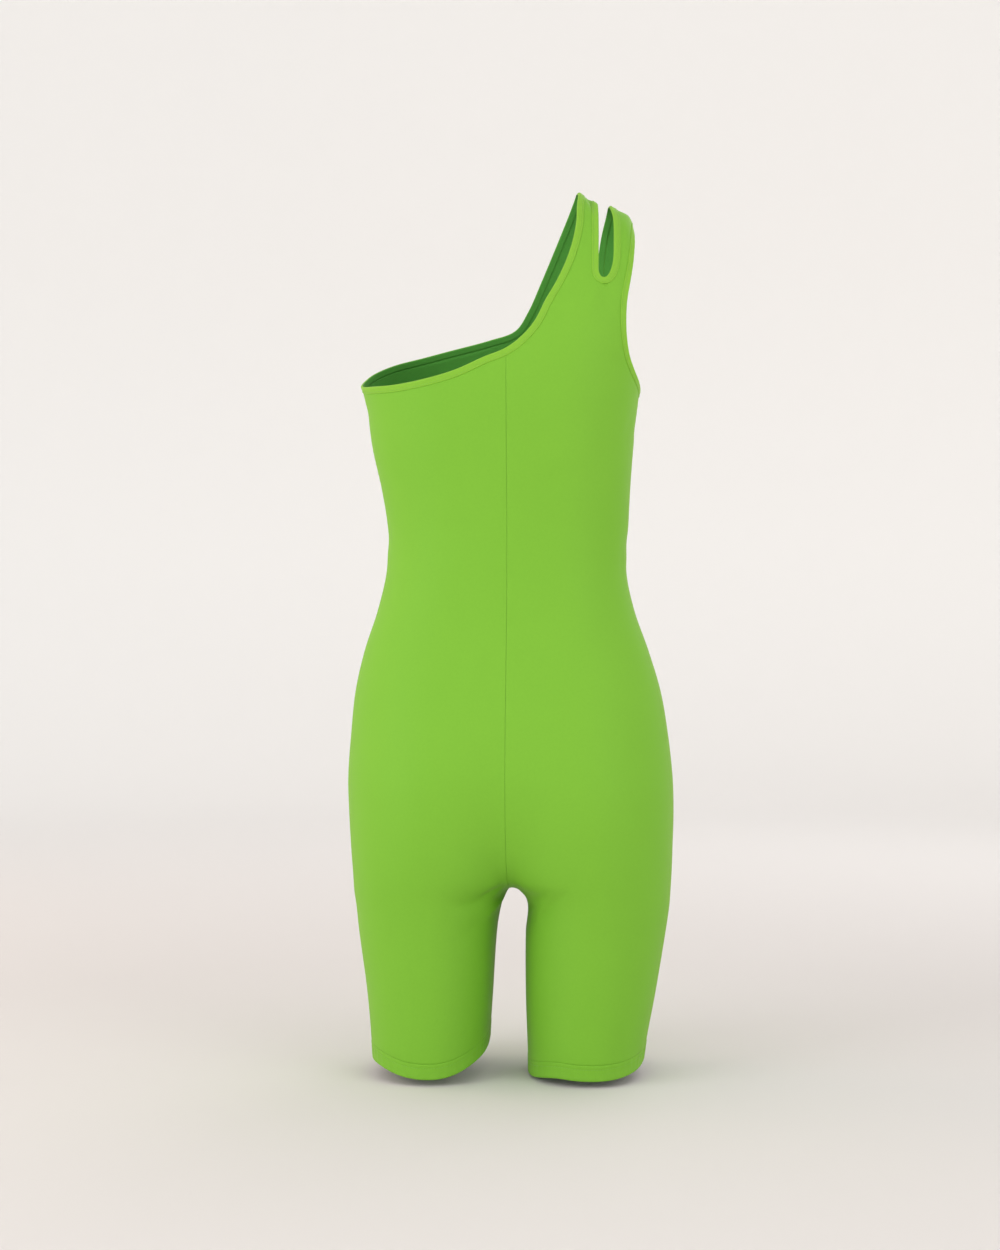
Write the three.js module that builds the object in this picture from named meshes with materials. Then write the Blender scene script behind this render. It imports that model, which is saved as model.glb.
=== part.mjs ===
// One-shoulder unitard, filled out as if worn, with nobody in it.
// Millimetres, +Z up.  The wearer faces -Y, so their right side is at -X.
// Figure heights are measured from the leg hems; the part's own origin is on
// top of the right shoulder, midway between the two straps, where it is held.
import * as THREE from 'three';

// ---------------------------------------------------------------- cloth
const clothWall = 1.2;
const seamGap = 0.3;
const bandWidth = 7;
const bandWall = 2.2;
const bandRise = 0.5;
const hemDepth = 16;
const hemWall = 2;
const hemRise = 0.4;

// ---------------------------------------------------------------- figure
// One row for each level: how far the outline reaches from the middle plane on
// each side, where the middle of each half stands, where its inner side stands
// (negative: past the middle plane), how deep the figure is to the front and to
// the back, and how wide the two halves melt into each other.
const sections = [
  { height: -40, left: 136, right: 130, mid: 77, leftIn: 24, rightIn: 18, front: 80, back: 80, blend: 12 },
  { height: 0, left: 138, right: 133, mid: 78, leftIn: 22, rightIn: 17, front: 82, back: 84, blend: 12 },
  { height: 60, left: 143, right: 144, mid: 79, leftIn: 18, rightIn: 15, front: 86, back: 89, blend: 12 },
  { height: 120, left: 151, right: 154, mid: 80, leftIn: 14, rightIn: 15, front: 90, back: 96, blend: 12 },
  { height: 148, left: 154, right: 158, mid: 80, leftIn: 9, rightIn: 17, front: 92, back: 101, blend: 12 },
  { height: 162, left: 156, right: 159, mid: 79.5, leftIn: 3, rightIn: 10, front: 93, back: 104, blend: 13 },
  { height: 178, left: 157, right: 160, mid: 78, leftIn: -16, rightIn: -14, front: 94, back: 108, blend: 22 },
  { height: 205, left: 159, right: 161, mid: 74, leftIn: -32, rightIn: -32, front: 95, back: 113, blend: 34 },
  { height: 240, left: 161, right: 162, mid: 68, leftIn: -42, rightIn: -42, front: 96, back: 117, blend: 44 },
  { height: 275, left: 162, right: 161, mid: 63, leftIn: -46, rightIn: -46, front: 96, back: 117, blend: 50 },
  { height: 320, left: 159, right: 156, mid: 57, leftIn: -48, rightIn: -48, front: 94, back: 110, blend: 50 },
  { height: 360, left: 155, right: 149, mid: 53, leftIn: -48, rightIn: -48, front: 91, back: 99, blend: 46 },
  { height: 400, left: 146, right: 137, mid: 48, leftIn: -47, rightIn: -47, front: 88, back: 88, blend: 42 },
  { height: 440, left: 133, right: 123, mid: 43, leftIn: -45, rightIn: -45, front: 84, back: 80, blend: 38 },
  { height: 480, left: 124, right: 115, mid: 39, leftIn: -44, rightIn: -44, front: 81, back: 76, blend: 36 },
  { height: 520, left: 123, right: 117, mid: 39, leftIn: -44, rightIn: -44, front: 82, back: 76, blend: 36 },
  { height: 560, left: 129, right: 119, mid: 41, leftIn: -45, rightIn: -45, front: 88, back: 80, blend: 38 },
  { height: 600, left: 138, right: 122, mid: 44, leftIn: -46, rightIn: -46, front: 98, back: 86, blend: 40 },
  { height: 640, left: 144, right: 126, mid: 47, leftIn: -46, rightIn: -46, front: 107, back: 91, blend: 44 },
  { height: 680, left: 154, right: 133, mid: 50, leftIn: -46, rightIn: -46, front: 106, back: 95, blend: 46 },
  { height: 720, left: 162, right: 150, mid: 54, leftIn: -46, rightIn: -46, front: 98, back: 96, blend: 46 },
  { height: 770, left: 176, right: 178, mid: 62, leftIn: -46, rightIn: -46, front: 86, back: 92, blend: 46 },
  { height: 820, left: 192, right: 198, mid: 70, leftIn: -46, rightIn: -46, front: 76, back: 86, blend: 46 },
  { height: 880, left: 200, right: 206, mid: 74, leftIn: -46, rightIn: -46, front: 70, back: 80, blend: 46 },
];
const roundness = 2.2;
const yokeHeight = 640;
// Top of the shoulders, from the middle plane outwards.
const shoulders = [
  { across: 0, height: 884 },
  { across: 62, height: 858 },
  { across: 80, height: 848.8 },
  { across: 90, height: 845 },
  { across: 100, height: 844.3 },
  { across: 110, height: 842.6 },
  { across: 117, height: 840.6 },
  { across: 123, height: 832 },
  { across: 130, height: 826 },
  { across: 160, height: 815 },
  { across: 210, height: 797 },
];

// ---------------------------------------------------------------- cut
const sideSeamTurn = { low: THREE.MathUtils.degToRad(18), high: 0, bendFrom: 500, bendTo: 650 };
const inseamTurn = Math.PI;
const fanHeight = 300;
const cornerGather = 1.8;
const crotchSideRise = 6;
// How a leg's edge stands off the level, in the order that hemHeight adds it up:
// its base, its drop and twist to the back, its rise to the inner side, and the
// dips behind and inside that start at the given distances.
const hemLine = {
  left: { base: 4.3, backDrop: 0.146, twist: 0.0015, innerRise: 0.12, backDip: 0.0045, innerDip: 0 },
  right: { base: -2, backDrop: 0.146, twist: 0, innerRise: 0.02, backDip: 0, innerDip: 0.0105 },
};
const hemDipFrom = { back: 45, inner: 22 };

// Finished edges.  "turn" is the angle round the half figure from its outer
// side (degrees, positive to the back, negative to the front); "across" is the
// distance to the wearer's right of the middle plane.
const neckEdge = {
  back: {
    start: { turn: 0, height: 666 },
    round: [
      { turn: 18, height: 660.5 },
      { turn: 36, height: 658 },
      { turn: 54, height: 657.5 },
      { turn: 72, height: 661.5 },
      { turn: 90, height: 669.8 },
      { turn: 107, height: 681.6 },
    ],
    middleHeight: 690.5,
    rise: [
      { across: 15, height: 701 },
      { across: 27, height: 715.5 },
      { across: 37.5, height: 737 },
      { across: 48, height: 756.5 },
      { across: 57, height: 777.5 },
      { across: 63, height: 798 },
      { across: 66.3, height: 818 },
      { across: 66.8, height: 837 },
    ],
  },
  front: {
    start: { turn: 0, height: 666 },
    round: [
      { turn: -13, height: 672.5 },
      { turn: -27, height: 682 },
      { turn: -45, height: 694 },
      { turn: -64, height: 704 },
      { turn: -84, height: 714 },
      { turn: -106, height: 722.5 },
    ],
    middleHeight: 731,
    rise: [
      { across: 14, height: 747 },
      { across: 28, height: 777 },
      { across: 38.5, height: 800 },
      { across: 49.5, height: 824 },
      { across: 58.5, height: 843 },
    ],
  },
  crestAcross: 66,
};
const armEdge = {
  back: {
    start: { turn: 0, height: 655 },
    rise: [
      { turn: 11, height: 660.5 },
      { across: 123.2, height: 673 },
      { across: 118.2, height: 686 },
      { across: 115.6, height: 702 },
      { across: 114.9, height: 718 },
      { across: 115.8, height: 738 },
      { across: 118.6, height: 756 },
      { across: 121.7, height: 777.5 },
      { across: 123, height: 795 },
      { across: 123, height: 812 },
    ],
  },
  front: {
    start: { turn: 0, height: 655 },
    rise: [
      { turn: -13, height: 660 },
      { turn: -25, height: 670 },
      { across: 117.5, height: 685 },
      { across: 113, height: 704 },
      { across: 110.5, height: 726 },
      { across: 110.5, height: 750 },
      { across: 114, height: 776 },
      { across: 118.5, height: 798 },
      { across: 121.5, height: 813 },
    ],
  },
  crestAcross: 122,
};
// The slot between the straps: a long eye over the shoulder.  Each foot is two
// quarter ellipses from its lowest point, of the reach and rise given for the
// side towards the neck (inner) and the side towards the arm (outer).
const slot = {
  crest: { inner: 87.2, outer: 97 },
  back: {
    foot: { across: 93.3, height: 760.5 },
    inner: { reach: 4.9, rise: 8, lean: 6 },
    outer: { reach: 9.6, rise: 27, lean: 8 },
  },
  front: {
    foot: { across: 78.5, height: 762.6 },
    inner: { reach: 6.9, rise: 7, lean: 2.6 },
    outer: { reach: 6.9, rise: 7, lean: 2.6 },
  },
  footAngles: [22, 52, 78],
};

// ---------------------------------------------------------------- mesh steps
const columns = 16;
const legRows = 10;
const seatRows = 10;
const torsoRows = 22;
const yokeRows = 8;
const strapRows = 11;
const strapColumns = 3;
const slotColumn = 10;
const bandColumns = 2;

// ---------------------------------------------------------------- colours
const cloth = { color: 0x86c843, roughness: 0.62, metalness: 0 };
const binding = { color: 0x8acb46, roughness: 0.6, metalness: 0 };

// ================================================================ form

// A smooth cubic through one column of a table, against another column.
function columnCurve(table, place, name) {
  const slopes = table.map((row, index) => {
    const before = table[Math.max(index - 1, 0)];
    const after = table[Math.min(index + 1, table.length - 1)];
    return (after[name] - before[name]) / (after[place] - before[place]);
  });
  return (at) => {
    let index = table.findIndex((row) => row[place] > at) - 1;
    if (index === -2) index = table.length - 2;
    index = Math.max(index, 0);
    const low = table[index];
    const high = table[index + 1];
    const span = high[place] - low[place];
    const t = THREE.MathUtils.clamp((at - low[place]) / span, 0, 1);
    const u = 1 - t;
    return low[name] * (1 + 2 * t) * u * u + slopes[index] * span * t * u * u
      + high[name] * (1 + 2 * u) * t * t - slopes[index + 1] * span * u * t * t;
  };
}

const column = Object.fromEntries(
  ['left', 'right', 'mid', 'leftIn', 'rightIn', 'front', 'back', 'blend']
    .map((name) => [name, columnCurve(sections, 'height', name)]),
);

// Top of the shoulder above a point this far from the middle plane.
const shoulderLine = columnCurve(shoulders, 'across', 'height');

// Centre, reach and depth of one half of the figure, on the side asked for.
function halfSection(side, height, toOutside, toBack) {
  const centre = column.mid(height);
  return {
    centre,
    width: toOutside ? column[side](height) - centre : centre - column[`${side}In`](height),
    depth: toBack ? column.back(height) : column.front(height),
  };
}

// Distance-like value of one half: below zero inside, above zero outside.
function halfField(side, across, y, height) {
  const { centre, width, depth } = halfSection(side, height, across > column.mid(height), y > 0);
  const reach = shoulderLine(Math.abs(across)) - yokeHeight;
  const climb = Math.max(0, (height - yokeHeight) / reach);
  const u = Math.abs(across - centre) / width;
  const v = Math.abs(y) / depth;
  const value = u ** roundness + v ** roundness + climb ** 2 - 1;
  const steep = Math.hypot(
    (roundness * u ** (roundness - 1)) / width,
    (roundness * v ** (roundness - 1)) / depth,
    (2 * climb) / reach,
  );
  return value / Math.max(steep, 1e-4);
}

// The whole figure: both halves, melted together near the middle plane.
function formField(point) {
  const left = halfField('left', point.x, point.y, point.z);
  const right = halfField('right', -point.x, point.y, point.z);
  const blend = column.blend(point.z);
  const overlap = Math.max(blend - Math.abs(left - right), 0) / blend;
  return Math.min(left, right) - (overlap * overlap * blend) / 4;
}

function formSlope(point) {
  const step = 0.4;
  const slope = new THREE.Vector3();
  ['x', 'y', 'z'].forEach((axis) => {
    const ahead = point.clone();
    const behind = point.clone();
    ahead[axis] += step;
    behind[axis] -= step;
    slope[axis] = (formField(ahead) - formField(behind)) / (2 * step);
  });
  return slope;
}

const anyWay = new THREE.Vector3(1, 1, 1);
const upOnly = new THREE.Vector3(0, 0, 1);

// Moves a point straight onto the figure, only along the free axes.
function settle(guess, free = anyWay) {
  const point = guess.clone();
  for (let pass = 0; pass < 14; pass += 1) {
    const slope = formSlope(point).multiply(free);
    const move = slope.multiplyScalar(-formField(point) / Math.max(slope.lengthSq(), 0.05));
    point.add(move.clampLength(0, 12));
  }
  return point;
}

function outward(point) {
  return formSlope(point).normalize();
}

const sign = { left: 1, right: -1 };

// Where the side seam runs: behind the side on the leg, on it under the arm.
function seamTurn(height) {
  const bend = THREE.MathUtils.smoothstep(height, sideSeamTurn.bendFrom, sideSeamTurn.bendTo);
  return THREE.MathUtils.lerp(sideSeamTurn.low, sideSeamTurn.high, bend);
}

function sidePoint(side, height) {
  return roundPoint(side, seamTurn(height), height);
}

// The point on a half figure at an angle round it and a height.
function roundPoint(side, turn, height) {
  const { centre, width, depth } = halfSection(side, height, Math.cos(turn) > 0, Math.sin(turn) > 0);
  const spread = Math.abs(Math.cos(turn)) ** roundness + Math.abs(Math.sin(turn)) ** roundness;
  const fit = spread ** (-1 / roundness);
  const across = centre + width * fit * Math.cos(turn);
  return settle(new THREE.Vector3(sign[side] * across, depth * fit * Math.sin(turn), height));
}

// How high the figure closes above a point on the right shoulder.
function crestHeight(across) {
  let height = shoulderLine(across);
  for (let pass = 0; pass < 4; pass += 1) {
    const { centre, width } = halfSection('right', height, across > column.mid(height), true);
    const rest = 1 - (Math.abs(across - centre) / width) ** roundness;
    height = yokeHeight + (shoulderLine(across) - yokeHeight) * Math.sqrt(Math.max(rest, 0));
  }
  return height;
}

function crestPoint(across) {
  return settle(new THREE.Vector3(-across, 0, crestHeight(across)), upOnly);
}

// The point on the right half's front or back, this far across and this high.
function facePoint(face, across, height) {
  const toBack = face === 'back';
  const { centre, width, depth } = halfSection('right', height, across > column.mid(height), toBack);
  const reach = shoulderLine(Math.abs(across)) - yokeHeight;
  const climb = Math.max(0, (height - yokeHeight) / reach);
  const rest = 1 - (Math.abs(across - centre) / width) ** roundness - climb ** 2;
  const y = depth * Math.max(rest, 1e-6) ** (1 / roundness);
  return settle(new THREE.Vector3(-across, toBack ? y : -y, height));
}

function edgePoint(face, side, spot) {
  if (spot.turn !== undefined) return roundPoint(side, THREE.MathUtils.degToRad(spot.turn), spot.height);
  return facePoint(face, spot.across, spot.height);
}

// The point in the middle plane, at an angle under the fan centre or a height.
function middlePoint(face, angle) {
  const direction = new THREE.Vector3(0, (face === 'back' ? 1 : -1) * Math.cos(angle), Math.sin(angle));
  let near = 40;
  let far = 170;
  for (let pass = 0; pass < 40; pass += 1) {
    const middle = (near + far) / 2;
    const probe = direction.clone().multiplyScalar(middle).setZ(fanHeight + direction.z * middle);
    if (formField(probe) < 0) near = middle;
    else far = middle;
  }
  return direction.clone().multiplyScalar(near).setZ(fanHeight + direction.z * near);
}

function middleAtHeight(face, height) {
  const depth = face === 'back' ? column.back(height) : -column.front(height);
  const point = new THREE.Vector3(0, depth, height);
  for (let pass = 0; pass < 14; pass += 1) {
    const slope = formSlope(point).y;
    point.y -= formField(point) / slope;
  }
  return point;
}

// ================================================================ curves

// A smooth curve through settled points, resampled in equal steps.
function evenSteps(points, steps) {
  const curve = new THREE.CatmullRomCurve3(points, false, 'centripetal');
  const dense = curve.getPoints(points.length * 24);
  const lengths = [0];
  for (let index = 1; index < dense.length; index += 1) {
    lengths.push(lengths[index - 1] + dense[index].distanceTo(dense[index - 1]));
  }
  const total = lengths.at(-1);
  return Array.from({ length: steps + 1 }, (unused, step) => {
    const wanted = (total * step) / steps;
    const passed = lengths.findIndex((value) => value >= wanted);
    const after = passed === -1 ? dense.length - 1 : Math.max(passed, 1);
    const share = (wanted - lengths[after - 1]) / (lengths[after] - lengths[after - 1]);
    return dense[after - 1].clone().lerp(dense[after], THREE.MathUtils.clamp(share, 0, 1));
  });
}

// Splits a run of edge points at the first one above a level.
function splitAt(points, height) {
  const index = points.findIndex((point) => point.z > height);
  return [points.slice(0, index + 1), points.slice(index)];
}

const strapsFrom = slot.back.foot.height - bandWidth;

// Finished neck edge of one face: round the left half, then up to the shoulder.
function neckRun(face) {
  const edge = neckEdge[face];
  const middle = middleAtHeight(face, edge.middleHeight);
  const round = [edge.start, ...edge.round].map((spot) => edgePoint(face, 'left', spot));
  const rise = edge.rise.map((spot) => edgePoint(face, 'right', spot));
  const whole = [...round, middle, ...rise, crestPoint(neckEdge.crestAcross)];
  const smooth = evenSteps(whole, 240);
  const middleIndex = smooth.findIndex((point) => point.x <= 0);
  const [low, high] = splitAt(smooth.slice(middleIndex), strapsFrom);
  return [
    ...evenSteps(smooth.slice(0, middleIndex + 1), columns),
    ...evenSteps(low, yokeRows).slice(1),
    ...evenSteps(high, strapRows).slice(1),
  ];
}

// Finished arm edge of one face: from the side seam up to the shoulder.
function armRun(face) {
  const edge = armEdge[face];
  const spots = [edge.start, ...edge.rise].map((spot) => edgePoint(face, 'right', spot));
  const smooth = evenSteps([...spots, crestPoint(armEdge.crestAcross)], 200);
  const [low, high] = splitAt(smooth, strapsFrom);
  return [...evenSteps(low, yokeRows), ...evenSteps(high, strapRows).slice(1)];
}

// One long side of the slot on one face, from its foot up to the shoulder.
function slotRun(face, sideName) {
  const { foot } = slot[face];
  const { reach, rise, lean } = slot[face][sideName];
  const way = sideName === 'outer' ? 1 : -1;
  const round = slot.footAngles.map((angle) => {
    const radians = THREE.MathUtils.degToRad(angle);
    const across = foot.across + way * reach * Math.sin(radians);
    return facePoint(face, across, foot.height + rise * (1 - Math.cos(radians)));
  });
  const crestAcross = slot.crest[sideName];
  const crest = crestHeight(crestAcross);
  const straight = [0.08, 0.3, 0.55, 0.78, 0.93].map((share) => {
    const climb = share * share * 0.45 + share * 0.55;
    const across = THREE.MathUtils.lerp(foot.across + way * reach, crestAcross, share ** lean);
    return facePoint(face, across, THREE.MathUtils.lerp(foot.height + rise, crest, climb));
  });
  const steps = strapRows - slot.footAngles.length + 1;
  const rest = evenSteps([round.at(-1), ...straight, crestPoint(crestAcross)], steps);
  return [...round, ...rest.slice(1)];
}

// Moves every point of a closed edge across the cloth by a distance.
function shiftLoop(loop, distance) {
  return loop.map((point, index) => {
    const before = loop.at(index - 1);
    const after = loop[(index + 1) % loop.length];
    const along = after.clone().sub(before).normalize();
    const across = outward(point).cross(along).normalize();
    return settle(point.clone().addScaledVector(across, distance));
  });
}

function closedLoop(back, front) {
  return [...back, ...front.slice(1, -1).reverse()];
}

// ================================================================ solids

// A closed wall from a sheet of points: its outer skin, its inner skin and a
// rim round every open edge.
function wallGeometry(points, faces, rise, thickness) {
  const normals = points.map(outward);
  const vertices = [];
  [rise, rise - thickness].forEach((lift) => {
    points.forEach((point, index) => {
      vertices.push(...point.clone().addScaledVector(normals[index], lift).sub(origin));
    });
  });
  const count = points.length;
  const edges = new Map();
  const indices = [];
  faces.forEach(([a, b, c]) => {
    indices.push(a, b, c, a + count, c + count, b + count);
    [[a, b], [b, c], [c, a]].forEach(([from, to]) => {
      const twin = `${to},${from}`;
      if (edges.has(twin)) edges.delete(twin);
      else edges.set(`${from},${to}`, [from, to]);
    });
  });
  edges.forEach(([from, to]) => indices.push(from, from + count, to + count, from, to + count, to));
  const geometry = new THREE.BufferGeometry();
  geometry.setAttribute('position', new THREE.Float32BufferAttribute(vertices, 3));
  geometry.setIndex(indices);
  geometry.computeVertexNormals();
  return geometry;
}

// Triangles between two rows of vertex numbers, which may differ in length.
function stripFaces(low, high) {
  const faces = [];
  let a = 0;
  let b = 0;
  while (a < low.length - 1 || b < high.length - 1) {
    const lowNext = (a + 1) / (low.length - 1 || 1);
    const highNext = (b + 1) / (high.length - 1 || 1);
    if (b === high.length - 1 || (a < low.length - 1 && lowNext <= highNext)) {
      faces.push([low[a], low[a + 1], high[b]]);
      a += 1;
    } else {
      faces.push([low[a], high[b + 1], high[b]]);
      b += 1;
    }
  }
  return faces;
}

// Makes the outer skin face away from the figure.
function faceOut(points, faces) {
  const [a, b, c] = faces[Math.floor(faces.length / 2)].map((index) => points[index]);
  const normal = b.clone().sub(a).cross(c.clone().sub(a));
  if (normal.dot(outward(a)) > 0) return faces;
  return faces.map(([first, second, third]) => [first, third, second]);
}

function makeMesh(name, geometry, finish) {
  const mesh = new THREE.Mesh(geometry, new THREE.MeshStandardMaterial(finish));
  mesh.name = name;
  return mesh;
}

function clothPiece(name, rows, finish, rise, thickness) {
  const points = [];
  const faces = [];
  rows.forEach((strip) => {
    const numbered = strip.map((row) => row.map((point) => {
      const known = points.indexOf(point);
      return known === -1 ? points.push(point) - 1 : known;
    }));
    for (let row = 1; row < numbered.length; row += 1) {
      faces.push(...stripFaces(numbered[row - 1], numbered[row]));
    }
  });
  return makeMesh(name, wallGeometry(points, faceOut(points, faces), rise, thickness), finish);
}

// A binding: a closed strip from the finished edge to the seam.
function bandPiece(name, loop, inwardSign) {
  const rows = [];
  for (let step = 0; step <= bandColumns; step += 1) {
    const distance = inwardSign * ((bandWidth - seamGap / 2) * step) / bandColumns;
    const row = shiftLoop(loop, distance);
    rows.push([...row, row[0]]);
  }
  return clothPiece(name, [rows], binding, bandRise, bandWall);
}

// ================================================================ panels

function hemHeight(side, point) {
  const { base, backDrop, twist, innerRise, backDip, innerDip } = hemLine[side];
  const inward = column.mid(0) - Math.abs(point.x);
  const behind = Math.max(point.y - hemDipFrom.back, 0);
  const within = Math.max(inward - hemDipFrom.inner, 0);
  return base - backDrop * point.y - twist * inward * Math.max(point.y, 0) + innerRise * inward
    - backDip * behind ** 2 - innerDip * within ** 2;
}

// A row of points round a leg, from its side seam to its inseam, a given
// distance above the hem's edge.
function hemRow(side, face, above) {
  const turnEnd = face === 'back' ? inseamTurn : -inseamTurn;
  return Array.from({ length: columns + 1 }, (unused, index) => {
    const turn = THREE.MathUtils.lerp(seamTurn(0), turnEnd, index / columns);
    let point = roundPoint(side, turn, 0);
    for (let pass = 0; pass < 3; pass += 1) point = roundPoint(side, turn, hemHeight(side, point) + above);
    return point;
  });
}

function turnOf(side, point, face) {
  const across = sign[side] * point.x;
  const toOutside = across > column.mid(point.z);
  const { centre, width, depth } = halfSection(side, point.z, toOutside, point.y > 0);
  const turn = Math.atan2(point.y / depth, (across - centre) / width);
  if (face === 'back' && turn < -Math.PI / 2) return turn + 2 * Math.PI;
  if (face === 'front' && turn > Math.PI / 2) return turn - 2 * Math.PI;
  return turn;
}

// A row across a panel between two settled points, with its rise gathered
// toward the middle by the given power.
function acrossRow(side, face, outer, inner, count, gather = 1) {
  const outerTurn = turnOf(side, outer, face);
  const innerTurn = turnOf(side, inner, face);
  const row = [outer];
  for (let index = 1; index < count; index += 1) {
    const share = index / count;
    const turn = THREE.MathUtils.lerp(outerTurn, innerTurn, share);
    const eased = (share * share * (3 - 2 * share)) ** gather;
    row.push(roundPoint(side, turn, THREE.MathUtils.lerp(outer.z, inner.z, eased)));
  }
  row.push(inner);
  return row;
}

function straightRow(from, to, count) {
  const row = [from];
  for (let index = 1; index < count; index += 1) row.push(settle(from.clone().lerp(to, index / count)));
  row.push(to);
  return row;
}

// Draws both ends of a row back from the seams by half the seam gap.
function drawBack(row) {
  const shift = seamGap / 2;
  const pulled = row.slice();
  const last = row.length - 1;
  pulled[0] = row[0].clone().addScaledVector(row[1].clone().sub(row[0]).normalize(), shift);
  pulled[last] = row[last].clone().addScaledVector(row[last - 1].clone().sub(row[last]).normalize(), shift);
  if (Math.abs(pulled[last].x) < shift) pulled[last].x = Math.sign(row[last - 1].x) * shift;
  return pulled;
}

// Draws the last row of a strap back from the shoulder seam.
function drawDown(row, below) {
  return row.map((point, index) => {
    const toward = below[index].clone().sub(point).normalize();
    return point.clone().addScaledVector(toward, seamGap / 2);
  });
}

const crotchPoint = middlePoint('back', -Math.PI / 2);

// Rows from the hem up to the fan height, the same for all four panels.
function lowerRows(side, face) {
  const hem = hemRow(side, face, hemDepth + seamGap / 2);
  const crotchSide = sidePoint(side, crotchPoint.z + crotchSideRise);
  const crotchRow = acrossRow(side, face, crotchSide, crotchPoint, columns);
  const rows = [];
  for (let step = 0; step < legRows; step += 1) {
    const share = step / legRows;
    rows.push(hem.map((low, index) => {
      const height = THREE.MathUtils.lerp(low.z, crotchRow[index].z, share);
      const turn = THREE.MathUtils.lerp(turnOf(side, low, face), index === columns
        ? (face === 'back' ? inseamTurn : -inseamTurn) : turnOf(side, crotchRow[index], face), share);
      return roundPoint(side, turn, height);
    }));
  }
  rows.push(crotchRow);
  for (let step = 1; step <= seatRows; step += 1) {
    const share = step / seatRows;
    const inner = middlePoint(face, -Math.PI / 2 * (1 - share));
    const outer = sidePoint(side, THREE.MathUtils.lerp(crotchSide.z, fanHeight, share));
    rows.push(acrossRow(side, face, outer, inner, columns));
  }
  return rows;
}

// Rows between two settled rows.  Each side runs through the points given, and
// the rows between bend evenly from one to the other.
function rowsBetween(side, face, low, high, outerRun, innerRun) {
  const steps = outerRun.length - 1;
  const place = (point) => new THREE.Vector2(turnOf(side, point, face), point.z);
  const lows = low.map(place);
  const highs = high.map(place);
  const outers = outerRun.map(place);
  const inners = innerRun.map(place);
  const rows = [];
  for (let step = 1; step < steps; step += 1) {
    const rise = step / steps;
    const between = (index) => lows[index].clone().lerp(highs[index], rise);
    const outerShift = outers[step].clone().sub(between(0));
    const innerShift = inners[step].clone().sub(between(columns));
    const row = [outerRun[step]];
    for (let index = 1; index < columns; index += 1) {
      const share = index / columns;
      const spot = between(index).addScaledVector(outerShift, 1 - share).addScaledVector(innerShift, share);
      row.push(roundPoint(side, spot.x, spot.y));
    }
    rows.push([...row, innerRun[step]]);
  }
  return rows;
}

// The two long sides of the torso stretch: the side seam and the middle seam.
function torsoRuns(side, face, low, high) {
  const heights = (from, to) => Array.from({ length: torsoRows + 1 }, (unused, step) => (
    THREE.MathUtils.lerp(from.z, to.z, step / torsoRows)));
  return [
    heights(low[0], high[0]).map((height) => sidePoint(side, height)),
    heights(low[columns], high[columns]).map((height) => middleAtHeight(face, height)),
  ];
}

function torsoRowsTo(side, face, low, high) {
  const [outerRun, innerRun] = torsoRuns(side, face, low, high);
  return [...rowsBetween(side, face, low, high, outerRun, innerRun), high];
}

function leftPanel(face, neckSeam) {
  const lower = lowerRows('left', face);
  const rows = [...lower, ...torsoRowsTo('left', face, lower.at(-1), neckSeam.slice(0, columns + 1))];
  return clothPiece(`${face}_left`, [rows.map(drawBack)], cloth, 0, clothWall);
}

function rightPanel(face, neckSeam, armSeam, slotIn, slotOut) {
  const neck = neckSeam.slice(columns);
  const lower = lowerRows('right', face);
  const corner = acrossRow('right', face, armSeam[0], neck[0], columns, cornerGather);
  const split = columns - slotColumn;
  const foot = [
    ...straightRow(armSeam[yokeRows], slotOut[0], split),
    ...straightRow(slotIn[0], neck[yokeRows], columns - split - 1),
  ];
  const body = [
    ...[...lower, ...torsoRowsTo('right', face, lower.at(-1), corner)].map(drawBack),
    ...rowsBetween('right', face, corner, foot, armSeam.slice(0, yokeRows + 1), neck.slice(0, yokeRows + 1)),
    foot,
  ];
  const strap = (outerRun, innerRun, footRow) => {
    const up = [footRow];
    for (let step = 1; step <= strapRows; step += 1) {
      up.push(straightRow(outerRun[step], innerRun[step], strapColumns));
    }
    up[strapRows] = drawDown(up[strapRows], up[strapRows - 1]);
    return up;
  };
  const outerStrap = strap(armSeam.slice(yokeRows), slotOut, foot.slice(0, split + 1));
  const innerStrap = strap(slotIn, neck.slice(yokeRows), foot.slice(split + 1));
  return clothPiece(`${face}_right`, [body, outerStrap, innerStrap], cloth, 0, clothWall);
}

function hemPiece(side) {
  const levels = [0, hemDepth / 2, hemDepth - seamGap / 2];
  const rows = levels.map((above) => {
    const back = hemRow(side, 'back', above);
    const front = hemRow(side, 'front', above);
    return [...back, ...front.slice(1, -1).reverse(), back[0]];
  });
  return clothPiece(`hem_${side}`, [rows], cloth, hemRise, hemWall);
}

// ================================================================ assembly

const origin = crestPoint((slot.crest.inner + slot.crest.outer) / 2).add(new THREE.Vector3(0, 0, -clothWall));

const neckLoop = closedLoop(neckRun('back'), neckRun('front'));
const armLoop = closedLoop(armRun('back'), armRun('front'));
const neckCount = columns + yokeRows + strapRows;
const armCount = yokeRows + strapRows;
const slotSides = {};
['back', 'front'].forEach((face) => {
  slotSides[face] = { inner: slotRun(face, 'inner'), outer: slotRun(face, 'outer') };
});
const slotLoop = [
  ...slotSides.back.inner.slice().reverse(),
  ...slotSides.back.outer,
  ...slotSides.front.outer.slice(0, -1).reverse(),
  ...slotSides.front.inner.slice(0, -1),
];

const seamDistance = bandWidth + seamGap / 2;
const neckSeam = shiftLoop(neckLoop, -seamDistance);
const armSeam = shiftLoop(armLoop, seamDistance);
const slotSeam = shiftLoop(slotLoop, -seamDistance);

function loopSide(loop, face, count) {
  if (face === 'back') return loop.slice(0, count + 1);
  return [loop[0], ...loop.slice(count).reverse()].slice(0, count + 1);
}

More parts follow.
